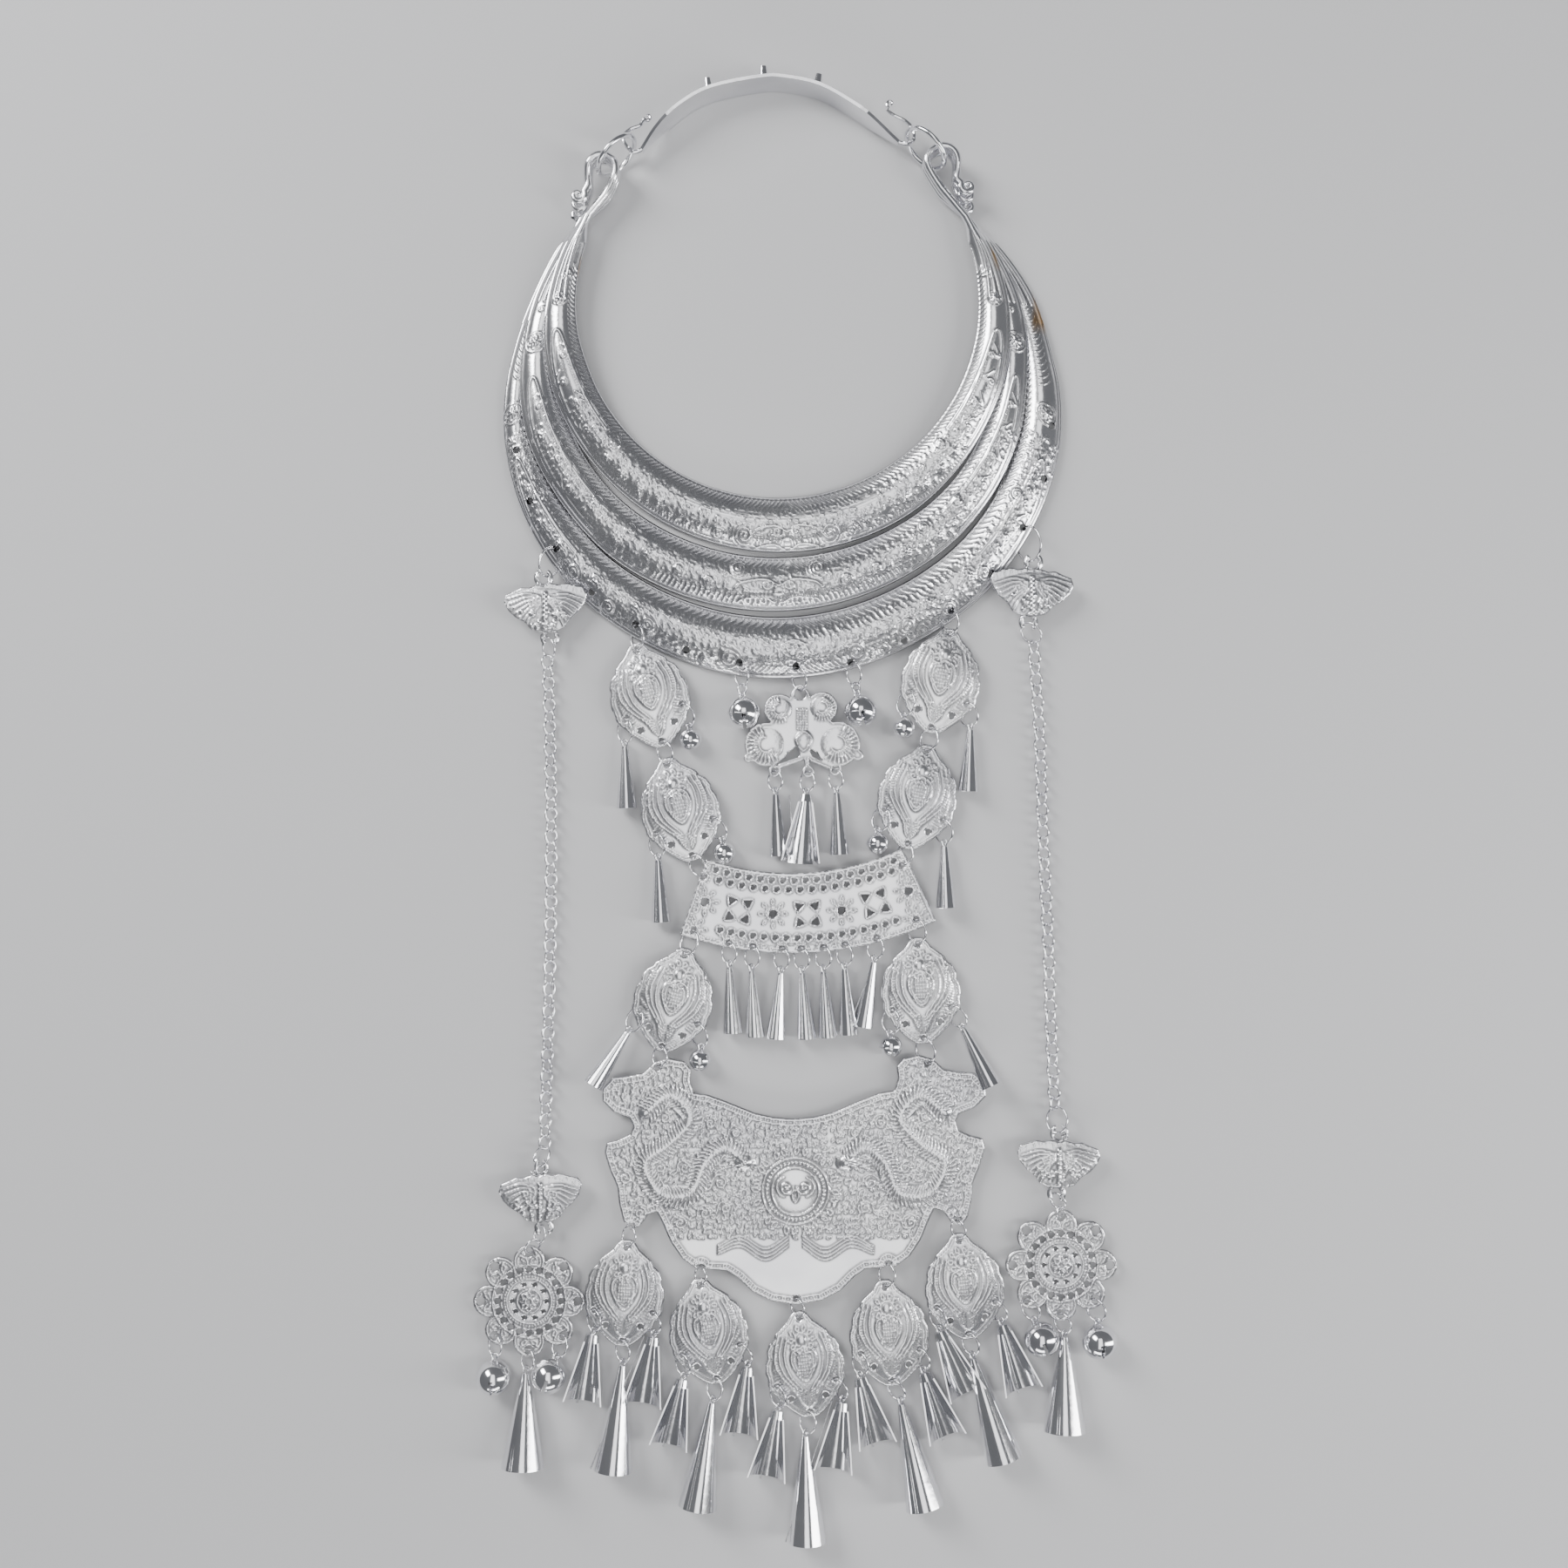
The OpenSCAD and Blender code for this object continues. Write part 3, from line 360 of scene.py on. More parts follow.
def cad(node):
    """Merged points in millimetres and triangles of a CAD node."""
    mesh = nodes[node].data
    co = np.zeros(len(mesh.vertices) * 3)
    mesh.vertices.foreach_get("co", co)
    mesh.calc_loop_triangles()
    tri = np.zeros(len(mesh.loop_triangles) * 3, int)
    mesh.loop_triangles.foreach_get("vertices", tri)
    co = co.reshape(-1, 3) / MM
    keys = np.round(co, 3)
    points, back = np.unique(keys, axis=0, return_inverse=True)
    return points, back.ravel()[tri].reshape(-1, 3)


def round_middle(points):
    """Degrees from the bottom of the neck opening, and the distance from its middle."""
    return np.degrees(np.arctan2(points[:, 0], -points[:, 1])), np.hypot(points[:, 0], points[:, 1])


def face_normals(points, tri):
    """Each triangle's corners, normal and twice its area."""
    corner = points[tri]
    normal = np.cross(corner[:, 1] - corner[:, 0], corner[:, 2] - corner[:, 0])
    return corner, normal, np.linalg.norm(normal, axis=1)


def sides_of(tri):
    """The three edges of each triangle, as pairs of points."""
    return np.concatenate([tri[:, [0, 1]], tri[:, [1, 2]], tri[:, [2, 0]]])


def box_middle(node):
    """The middle of a CAD node seen from above, in millimetres."""
    low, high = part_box(node)
    return np.array([low[0] + high[0], low[1] + high[1]]) / 2 / MM


# Crescents

SECTION_STEP = 5.6
WIRE_FROM = 104.0
WIRE_R = 1.5
END = 112
FADE_FROM = 108
UNDER_COLUMNS = 9
UNDER_EDGE = 2.0
UNDER_GAP = 0.9
HOLE_CUT = 1.32
HOLE_LIP = 1.45
HOLE_EDGE = (0.9, 1.95)


def crescent_rows(node):
    """Degrees from the bottom, inner and outer radius, rim height and crown height of a crescent."""
    points = cad(node)[0]
    phi, r = round_middle(points)
    rows = []
    for k in range(-20, 21):
        on = np.abs(phi - k * SECTION_STEP) < 0.02
        on &= (r > 70) & (np.abs(phi) < 112.1)
        q, z = r[on], points[on, 2]
        rows.append((k * SECTION_STEP, q.min(), q.max(), z.min(), z.max()))
    return np.array(rows)


def row_value(rows, phi, column):
    """A smooth value between a crescent's sections."""
    x, y = rows[:, 0], rows[:, column]
    slope = np.gradient(y, x)
    i = np.clip(np.searchsorted(x, phi) - 1, 0, len(x) - 2)
    h = x[i + 1] - x[i]
    t = (phi - x[i]) / h
    return (y[i] * (1 + 2 * t) * (1 - t) ** 2 + y[i + 1] * t * t * (3 - 2 * t)
            + h * (slope[i] * t * (1 - t) ** 2 - slope[i + 1] * t * t * (1 - t)))


def crescent(node, chased, holes=(), gilt=None):
    """An embossed crescent: its arch over a recessed underside, thinning to a wire at both ends."""
    rows = chased.rows
    spacing = 0.43
    mid = (rows[:, 1] + rows[:, 2]) / 2
    length = math.radians(2 * END) * mid.mean()
    n = int(length / spacing)
    width = (rows[:, 2] - rows[:, 1]).max()
    m = int(width / spacing)
    phi = np.linspace(-END, END, n)
    a, b = row_value(rows, phi, 1), row_value(rows, phi, 2)
    rim, top = row_value(rows, phi, 3), row_value(rows, phi, 4)
    w, mid = b - a, (a + b) / 2
    u = np.linspace(-1, 1, m)
    to_wire = np.clip((np.abs(phi) - WIRE_FROM) / 8, 0, 1)
    to_wire = (to_wire ** 2 * (3 - 2 * to_wire))[:, None]
    bend = np.radians(200 - 220 * (u + 1) / 2)[None]
    across = w[:, None] / 2 * u[None]
    tall = (top - rim)[:, None] * (1 - u[None] ** 2)
    along = np.broadcast_to(phi[:, None] * chased.run, across.shape)
    at = np.stack([along.ravel(), across.ravel()], 1)
    raised = chased.map.at(at).reshape(across.shape)
    # Painted shade in the recesses of the chased relief.
    painted_shade = chased.map.recess_shade(at).reshape(across.shape)
    fade = np.clip((FADE_FROM - np.abs(phi)) / 6, 0, 1)[:, None]
    raised = raised * fade
    x = across * (1 - to_wire) + WIRE_R * np.cos(bend) * to_wire
    z = (tall + raised) * (1 - to_wire) + WIRE_R * (1 + np.sin(bend)) * to_wire
    lean = np.clip(across / w[:, None] * 2, -1, 1) * 0.35
    x = x + raised * lean * (1 - to_wire)
    radius = mid[:, None] + x
    c, s = np.sin(np.radians(phi))[:, None], -np.cos(np.radians(phi))[:, None]
    upper = np.stack([radius * c, radius * s, rim[:, None] + z], -1)
    v = np.linspace(1, -1, UNDER_COLUMNS)
    foot = 1 - UNDER_EDGE / w[:, None]
    x2 = v[None] * w[:, None] / 2 * foot * (1 - to_wire) + WIRE_R * v[None] * 0.9 * to_wire
    z2 = (top - rim - UNDER_GAP)[:, None] * (1 - v[None] ** 2) * (1 - to_wire) + 0.05 * to_wire
    radius2 = mid[:, None] + x2
    under = np.stack([radius2 * c, radius2 * s, rim[:, None] + z2], -1)
    points = np.concatenate([upper, under], 1)
    # Painted shade: the relief's recesses on top, a flat 0.25 on the underside.
    shade = np.concatenate([painted_shade * fade, np.full(x2.shape, 0.25)], 1)
    faces = quads(n, m + UNDER_COLUMNS, closed=True)
    flat_points = points.reshape(-1, 3)
    for hole in holes:
        centre = flat_points[faces].mean(1)
        near = np.hypot(centre[:, 0] - hole[0], centre[:, 1] - hole[1])
        faces = faces[near > HOLE_CUT]
        ring = np.hypot(flat_points[:, 0] - hole[0], flat_points[:, 1] - hole[1])
        edge = (ring > HOLE_EDGE[0]) & (ring < HOLE_EDGE[1])
        pull = flat_points[edge][:, :2] - hole
        size = np.linalg.norm(pull, axis=1, keepdims=True)
        flat_points[edge, :2] = hole + pull / size * np.maximum(size, HOLE_LIP)
    ends = wire_ends(node)
    count = len(flat_points)
    flat_points = np.concatenate([flat_points, ends[0]])
    # Painted shade of 0.12 on the wire ends.
    shade = np.concatenate([shade.ravel(), np.full(len(ends[0]), 0.12)])
    all_faces = [tuple(f) for f in faces] + [tuple(f) for f in ends[1] + count]
    warm = np.zeros(len(flat_points)) if gilt is None else gilt(flat_points)
    make(node + "_embossed", flat_points, all_faces, EMBOSSED, shade, warm, node_names=[node])


def wire_ends(node):
    """The wire loops and coils past a crescent's last sections."""
    points, tri = cad(node)
    phi = round_middle(points)[0]
    outside = (np.abs(phi) > 111.9) | (points[:, 1] > 30.5)
    keep = outside[tri].all(1)
    used, back = np.unique(tri[keep], return_inverse=True)
    return points[used], back.reshape(-1, 3)


class Chased:
    """The ornament of one crescent, drawn over degrees from the bottom and millimetres across."""

    def __init__(self, node):
        self.rows = crescent_rows(node)
        mid = (self.rows[:, 1] + self.rows[:, 2]) / 2
        self.run = math.radians(1) * np.interp(35, self.rows[:, 0], mid)
        self.half = float((self.rows[:, 2] - self.rows[:, 1]).max() / 2)
        self.map = Relief((-END * self.run, -self.half - 1), (END * self.run, self.half + 1), 0.12)

    def width(self, phi):
        """Half the crescent's width at some degrees."""
        return (row_value(self.rows, phi, 2) - row_value(self.rows, phi, 1)) / 2

    def put(self, phi, v):
        """The place on the map at degrees phi and fraction v of the half width."""
        phi = np.asarray(phi, float)
        return np.stack([phi * self.run, self.width(phi) * np.asarray(v, float)], -1)

    def line(self, start, end, v0, v1=None, width=0.7, height=0.35):
        """A lengthwise line that moves from fraction v0 to v1 of the half width."""
        phi = np.linspace(start, end, 240)
        v = np.linspace(v0, v0 if v1 is None else v1, 240)
        self.map.stroke(self.put(phi, v), width, height)

    def hatch(self, start, end, v0, v1, lean, pitch=1.25, width=0.6, height=0.3):
        """Short strokes across, each leaning by some degrees along the crescent."""
        for phi in np.arange(start, end, pitch):
            sign = 1 if phi > 2 else -1
            a = self.put(phi, v0)
            b = self.put(phi + sign * lean, v1)
            middle = self.put(phi + sign * lean * 0.35, (v0 + v1) / 2)
            self.map.stroke(smooth_line([a, middle, b], 0.3), width, height)

    def scroll(self, phi, v, r, start=0.0, hand=1, turns=2.1, petals=0):
        """A spiral in double line, with petals round it."""
        c = self.put(phi, v)
        self.map.dome(c, (r * 1.1, r * 1.1), 0.35)
        self.map.stroke(spiral(c, r, turns, start, hand), 0.75, 0.5)
        self.map.stroke(arc(c, r + 0.85, start - 60 * hand, start + 200 * hand), 0.55, 0.3)
        self.map.dots([c], 0.9, 0.6)
        for k in range(petals):
            a = start + 200 * hand + k * 360 / max(petals, 1) * 0.55 * hand
            tip = c + (r + 0.9) * np.array([math.cos(math.radians(a)), math.sin(math.radians(a))])
            self.map.stroke(lens(tip, r * 0.8, r * 0.5, a + 25 * hand), 0.5, 0.4)

    def flower(self, phi, v, r, petals=6):
        """A round flower of petals with a bead in the middle."""
        c = self.put(phi, v)
        self.map.dome(c, (r, r), 0.3)
        for k in range(petals):
            a = k * 360 / petals + 15
            self.map.stroke(lens(place([[0.5, 0]], c, a)[0], r - 0.4, r * 0.62, a), 0.5, 0.4)
        self.map.dots([c], 1.1, 0.6)
        self.map.stroke(arc(c, r + 0.5, 0, 360), 0.5, 0.25)

    def flame(self, phi, v, length, turn_deg, hand=1):
        """A comma-shaped flame: a curl with a long tail of fine lines."""
        c = self.put(phi, v)
        curl = spiral((0, 0), 1.5, 1.4, 90 * hand, hand)
        self.map.stroke(place(curl, c, turn_deg), 0.65, 0.5)
        for k in range(4):
            reach = length * (1 - 0.12 * k)
            tail = [[0, (1.5 + 0.55 * k) * hand], [-reach * 0.4, (1.9 + 0.5 * k) * hand],
                    [-reach, (0.2 + 0.5 * k) * hand]]
            self.map.stroke(place(smooth_line(tail, 0.3), c, turn_deg), 0.5, 0.38)

    def cartouche(self, tip, base, v0=0.12, spread=0.62):
        """A long pointed lobe in double outline that holds a row of flames."""
        sign = 1 if tip > base else -1
        span = abs(tip - base)
        t = np.linspace(0, 1, 60)
        belly = np.sin(np.pi * np.clip(t, 0, 1) ** 0.6 / 2) ** 0.7
        for k, grow in enumerate((1.0, 0.84)):
            phi = tip - sign * t * span
            self.map.stroke(self.put(phi, v0 + spread * belly * grow), 0.75, 0.5)
            self.map.stroke(self.put(phi, v0 - spread * belly * grow), 0.75, 0.5)
        steps = max(int(span / 6), 3)
        for k in range(steps):
            phi = tip - sign * span * (k + 1.1) / (steps + 0.6)
            side = 0.2 if k % 2 else -0.14
            self.flame(phi, v0 + side, 4.8, 180 if sign > 0 else 0, 1 if k % 2 else -1)
        self.map.beads(self.put(tip - sign * t[12:] * span, v0 - spread * 0.66 * belly[12:]), 1.1, 0.75, 0.42)

    def fill(self, start, end, v0, v1, pitch=1.9):
        """Small leaves and beads wherever the ground is still bare."""
        for phi in np.arange(start, end, pitch / self.run):
            for v in np.arange(v0, v1, pitch / self.half):
                jitter = rng.uniform(-0.5, 0.5, 2)
                c = self.put(phi + jitter[0], v + jitter[1] * 0.1)
                if self.map.at(c[None])[0] > 0.12:
                    continue
                a = rng.uniform(0, 180)
                if rng.random() < 0.7:
                    self.map.stroke(lens(c, 1.7, 0.9, a), 0.45, 0.32)
                else:
                    self.map.dots([c], 0.8, 0.35)


# Ornament of each crescent, in degrees from the bottom, fractions of the half width and radii

def chase_common(node, outer_beads):
    """Border lines, feathered inner edge, flutes towards the ends."""
    c = Chased(node)
    c.line(-104, 104, -0.93, width=0.7, height=0.3)
    c.line(-104, 104, 0.94, width=0.8, height=0.35)
    c.line(-84, 84, 0.84, width=0.5, height=0.25)
    c.hatch(-96, 96, -0.86, -0.55, 1.6, pitch=1.25)
    for sign in (-1, 1):
        for v, end in ((-0.3, 0.0), (0.12, 0.1), (0.5, 0.25)):
            c.line(sign * 88, sign * 111, v, end, width=0.9, height=0.5)
    if outer_beads:
        for start, end in ((-56, -20), (22, 56)):
            c.map.beads(c.put(np.linspace(start, end, 80), np.full(80, 0.78)), 1.25, 0.8, 0.4)
    return c


def centre_face(c, at, v):
    """A winged face between two scrolls, over a fan of barbs."""
    for hand in (-1, 1):
        eye = c.put(at + hand * 2.3, v - 0.12)
        c.map.stroke(spiral(eye, 2.0, 1.5, 200 if hand > 0 else -20, -hand), 0.7, 0.5)
        wing = [(0, -0.1), (3, -0.32), (7, -0.16), (8.6, 0.1)]
        low = [(0.6, 0.5), (3, 0.32), (6.5, 0.42), (8, 0.6)]
        for line, width, height in ((wing, 0.8, 0.5), (low, 0.7, 0.45)):
            points = c.put([at + hand * p[0] for p in line], [v + p[1] for p in line])
            c.map.stroke(smooth_line(points), width, height)
        for k in range(9):
            phi = at + hand * (0.9 + 0.72 * k)
            c.map.stroke(c.put([phi, phi + hand * 0.35], [v + 0.12, v + 0.34]), 0.6, 0.42)
    c.map.dome(c.put(at, v), (2.6, 3.0), 0.5)
    c.map.dots([c.put(at - 0.7, v - 0.05), c.put(at + 0.7, v - 0.05)], 0.9, 0.5)


def chase_inner():
    c = chase_common("crescent_inner", True)
    centre_face(c, 2.2, 0.42)
    for phi, v, r, start, hand in ((-8, 0.5, 3.6, 60, 1), (12.4, 0.5, 3.6, 120, -1),
                                   (-14.2, 0.62, 2.4, 20, -1), (17.6, 0.62, 2.4, 160, 1)):
        c.scroll(phi, v, r, start, hand)
    for phi, v in ((-22, 0.62), (-19, 0.5), (21.4, 0.58), (24, 0.66)):
        c.map.stroke(spiral(c.put(phi, v), 1.5, 1.3, 90, 1), 0.6, 0.42)
    for k in range(5):
        c.line(-26 + k, 28 - k, -0.1 - 0.09 * k, width=0.5, height=0.22)
    c.hatch(-15, 20, -0.5, -0.36, 0.8, pitch=1.1)
    for sign in (-1, 1):
        for phi, v, r in ((31, 0.42, 1.7), (36.5, 0.46, 1.9), (42, 0.45, 1.9), (47, 0.4, 1.7)):
            c.flower(sign * phi + 1, v, r, 5)
        c.scroll(sign * 47, -0.25, 2.1, 90, sign, petals=3)
        c.cartouche(sign * 80, sign * 51, 0.16)
        c.flower(sign * 88, 0.05, 2.3, 6)
        c.flame(sign * 94, 0.0, 4.5, 180 if sign > 0 else 0, sign)
    c.fill(-62, 62, -0.45, 0.74)
    return c


def chase_middle():
    c = chase_common("crescent_middle", False)
    centre_face(c, 0.2, 0.2)
    c.hatch(-24, 24, 0.5, 0.82, 0.5, pitch=0.95, width=0.65, height=0.42)
    for sign in (-1, 1):
        c.scroll(sign * 8.2, -0.42, 3.2, 90, sign, petals=2)
        c.scroll(sign * 13.5, 0.25, 2.3, 30, -sign)
        c.scroll(sign * 20, 0.2, 2.0, 60, sign, petals=3)
        c.flower(sign * 26.5, 0.15, 2.2, 6)
        c.scroll(sign * 32, -0.3, 2.3, 120, -sign, petals=3)
        c.flower(sign * 33.5, 0.38, 2.1, 6)
        c.scroll(sign * 41, -0.25, 2.2, 60, sign, petals=2)
        c.cartouche(sign * 71, sign * 38, 0.2, 0.58)
        c.flower(sign * 78.5, 0.1, 2.8, 7)
        c.map.stroke(arc(c.put(sign * 78.5, 0.1), 4.2, 0, 360), 0.6, 0.4)
        c.flame(sign * 86, 0.1, 4.5, 180 if sign > 0 else 0, sign)
    c.fill(-60, 60, -0.5, 0.78)
    return c


def chase_outer():
    c = chase_common("crescent_outer", False)
    c.flower(2.5, 0.24, 4.0, 8)
    c.map.stroke(arc(c.put(2.5, 0.24), 5.4, 0, 360), 0.7, 0.4)
    c.hatch(-4, 9, 0.62, 0.86, 1.4, pitch=0.8, width=0.65, height=0.45)
    for k in range(6):
        c.map.stroke(arc(c.put(2.5, 0.95), 5.2 + 1.3 * k, 200, 340), 0.5, 0.25)
    for phi, v, r, start, hand in ((-7.6, 0.52, 3.8, 90, -1), (12.4, 0.52, 3.8, 90, 1),
                                   (-11.4, 0.74, 2.2, 20, 1), (16.4, 0.74, 2.2, 160, -1)):
        c.scroll(phi, v, r, start, hand, petals=2)
    for sign in (-1, 1):
        for phi, v, r, hand in ((21.5, 0.36, 2.8, 1), (28.5, 0.6, 2.7, -1), (36.5, 0.46, 2.7, 1),
                                (50, -0.2, 2.6, -1)):
            c.scroll(sign * phi, v, r, 90, sign * hand, petals=3)
        for phi, v, r in ((25, 0.0, 2.4), (33, 0.1, 2.4), (42, 0.15, 2.2)):
            c.flower(sign * phi + 1, v, r, 6)
        c.cartouche(sign * 58, sign * 38, 0.3, 0.5)
        c.flower(sign * 66, 0.2, 2.9, 7)
        c.map.stroke(arc(c.put(sign * 66, 0.2), 4.3, 0, 360), 0.6, 0.4)
        c.hatch(sign * 80 - 9, sign * 80 + 9, -0.1, 0.4, 1.4, pitch=1.3)
    c.hatch(-30, 33, -0.5, -0.2, 0.6, pitch=1.0)
    c.fill(-62, 62, -0.5, 0.84)
    return c


def brass_right(points):
    """Where the plating has worn to brass: the outer right flank and a patch of the right horn."""
    phi, r = round_middle(points)
    flank = np.clip(1 - np.abs(phi - 84) / 9, 0, 1) * np.clip((r - 101.2) / 1.6, 0, 1)
    return flank * np.clip((points[:, 1] + 16) / 6, 0, 1)


def brass_left_inner(points):
    """A warm line on the left inner edge and between the right horns."""
    phi, r = round_middle(points)
    left = np.clip(1 - np.abs(phi + 96) / 5, 0, 1) * np.clip((79.7 - r) / 0.6, 0, 1)
    right = np.clip(1 - np.abs(phi - 100) / 5, 0, 1) * np.clip((r - 85.6) / 1.2, 0, 1)
    return np.maximum(left, right)


def round_holes_near(node, outer):
    """Centres of the small round holes that a CAD sheet has, from its rim edges."""
    points, tri = cad(node)
    corner, normal, size = face_normals(points, tri)
    upright = (np.abs(normal[:, 2]) < 0.02 * size) & (size > 1e-4)
    middle = corner[upright].mean(1)[:, :2]
    found = []
    for p in middle:
        if np.hypot(*p) < outer:
            continue
        for f in found:
            if np.hypot(*(p - np.mean(f, 0))) < 3.2:
                f.append(p)
                break
        else:
            found.append([p])
    return [(np.min(f, 0) + np.max(f, 0)) / 2 for f in found if len(f) > 5]


def build_crescents():
    holes = round_holes_near("crescent_outer", 100)
    crescent("crescent_inner", chase_inner(), gilt=brass_left_inner)
    crescent("crescent_middle", chase_middle())
    crescent("crescent_outer", chase_outer(), holes, brass_right)


# Relief sheets cut to the CAD pieces' outlines

def top_loops(node):
    """Closed outlines of a CAD sheet's upper face, its holes among them, with x, y, z."""
    points, tri = cad(node)
    normal, size = face_normals(points, tri)[1:]
    tri = tri[(normal[:, 2] > 0.35 * size) & (size > 1e-7)]
    there = {(int(a), int(b)) for a, b in sides_of(tri)}
    following = {a: b for a, b in there if (b, a) not in there}
    loops = []
    while following:
        start, a = following.popitem()
        loop = [start]
        while a != start and a in following:
            loop.append(a)
            a = following.pop(a)
        if len(loop) > 2:
            loops.append(points[loop])
    return sorted(loops, key=lambda q: -np.ptp(q[:, 0]))


def spaced(loop, pitch):
    """A closed outline with evenly spaced points."""
    p = np.concatenate([loop, loop[:1]])
    run = distance_along(p)
    s = np.linspace(0, run[-1], max(int(run[-1] / pitch), 10), endpoint=False)
    return np.stack([np.interp(s, run, p[:, k]) for k in range(3)], 1)


def inside_map(loops, cell=0.1):
    """A grid that is true inside the outline and outside its holes."""
    low = loops[0].min(0)[:2] - 1
    size = np.ceil((loops[0].max(0)[:2] + 1 - low) / cell).astype(int)
    grid = np.zeros((size[1], size[0]), bool)
    a = np.concatenate([q[:, :2] for q in loops])
    b = np.concatenate([np.roll(q[:, :2], -1, 0) for q in loops])
    for j in range(size[1]):
        y = low[1] + (j + 0.5) * cell
        cut = (a[:, 1] > y) != (b[:, 1] > y)
        if cut.any():
            x = a[cut, 0] + (y - a[cut, 1]) / (b[cut, 1] - a[cut, 1]) * (b[cut, 0] - a[cut, 0])
            for lo, hi in np.sort(x)[:len(x) // 2 * 2].reshape(-1, 2):
                grid[j, int((lo - low[0]) / cell):int((hi - low[0]) / cell)] = True
    return grid, low, cell


def sheet(node, relief, pitch=0.45, thick=0.6, material=SHEET):
    """A sheet with relief on its face, cut to the CAD node's outline and holes."""
    pitch = pitch
    loops = [spaced(q, pitch * 1.1) for q in top_loops(node)]
    grid, low, cell = inside_map(loops)
    rim = np.concatenate(loops)
    high = loops[0].max(0)[:2]
    gx, gy = np.meshgrid(np.arange(low[0], high[0], pitch), np.arange(low[1], high[1], pitch))
    gx = gx + (np.arange(gx.shape[0]) % 2)[:, None] * pitch / 2
    p = np.stack([gx.ravel(), gy.ravel()], 1)
    near = np.zeros_like(grid)
    k = int(0.5 * pitch / cell) + 1
    at = ((rim[:, :2] - low) / cell).astype(int)
    for dy in range(-k, k + 1):
        for dx in range(-k, k + 1):
            y = np.clip(at[:, 1] + dy, 0, grid.shape[0] - 1)
            x = np.clip(at[:, 0] + dx, 0, grid.shape[1] - 1)
            near[y, x] = True
    c = np.clip(((p - low) / cell).astype(int), 0, np.array(grid.shape)[::-1] - 1)
    p = p[grid[c[:, 1], c[:, 0]] & ~near[c[:, 1], c[:, 0]]]
    flat = np.concatenate([rim[:, :2], p])
    edges, start = [], 0
    for q in loops:
        edges += [(start + i, start + (i + 1) % len(q)) for i in range(len(q))]
        start += len(q)
    cut = delaunay_2d_cdt([Vector(v) for v in flat], edges, [], 0, 1e-6)
    co = np.array([tuple(v) for v in cut[0]])
    tri = np.array([t for t in cut[2] if len(t) == 3])
    m = ((co[tri].mean(1) - low) / cell).astype(int)
    m = np.clip(m, 0, np.array(grid.shape)[::-1] - 1)
    tri = tri[grid[m[:, 1], m[:, 0]]]
    points, faces = cad(node)
    tree = BVHTree.FromPolygons([tuple(v) for v in points], [tuple(f) for f in faces])
    z = np.empty(len(co))
    for i, (x, y) in enumerate(co):
        hit = tree.ray_cast(Vector((x, y, 30)), Vector((0, 0, -1)))[0]
        z[i] = hit.z if hit else rim[np.argmin(np.hypot(rim[:, 0] - x, rim[:, 1] - y)), 2]
    top = np.column_stack([co, z + relief.at(co)])
    # Painted shade in the recesses of the relief.
    shade = relief.recess_shade(co)
    base = np.column_stack([co, z - thick])
    n = len(co)
    used = dict.fromkeys(map(tuple, sides_of(tri).tolist()))
    rim_edges = [(a, b) for a, b in used if (b, a) not in used]
    walls = np.array([(b, a, a + n) for a, b in rim_edges] + [(b, a + n, b + n) for a, b in rim_edges])
    all_faces = np.concatenate([tri, walls, tri[:, ::-1] + n])
    # Painted shade of 0.3 on the walls and the underside.
    make(node + "_relief", np.concatenate([top, base]), all_faces, material,
         np.concatenate([shade, np.full(n, 0.3)]), node_names=[node])


def blank(node, cell=0.1):
    """An empty relief map over a CAD node."""
    low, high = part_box(node)
    return Relief((low[0] / MM - 1, low[1] / MM - 1), (high[0] / MM + 1, high[1] / MM + 1), cell)


def inset(loop, by):
    """An outline moved inwards, for border lines."""
    q = spaced(loop, 0.5)[:, :2]
    d = np.roll(q, -1, 0) - np.roll(q, 1, 0)
    for _ in range(6):
        d = (d + np.roll(d, 1, 0) + np.roll(d, -1, 0)) / 3
    d /= np.maximum(np.linalg.norm(d, axis=1, keepdims=True), 1e-9)
    area = (q[:, 0] * np.roll(q[:, 1], -1) - q[:, 1] * np.roll(q[:, 0], -1)).sum()
    side = np.stack([-d[:, 1], d[:, 0]], 1) * (1 if area > 0 else -1)
    line = q + side * by
    return np.concatenate([line, line[:1]])


def trim(r, node, margin=0.5):
    """Flattens the relief near outline and holes."""
    for q in top_loops(node):
        p = spaced(q, 0.15)
        at = ((p[:, :2] - r.low) / r.cell).round().astype(int)
        k = int(margin / r.cell)
        for dy in range(-k, k + 1):
            for dx in range(-k, k + 1):
                if dx * dx + dy * dy <= k * k:
                    y = np.clip(at[:, 1] + dy, 0, r.h.shape[0] - 1)
                    x = np.clip(at[:, 0] + dx, 0, r.h.shape[1] - 1)
                    r.h[y, x] *= 0.5


def leaf_frame(node):
    """Top hole and turn of a leaf, from its holes: the highest and the lowest one."""
    holes = [q.mean(0)[:2] for q in top_loops(node)[1:]]
    first = max(holes, key=lambda p: p[1])
    last = max(holes, key=lambda p: np.hypot(*(p - first)))
    d = last - first
    return first, math.degrees(math.atan2(d[0], -d[1]))


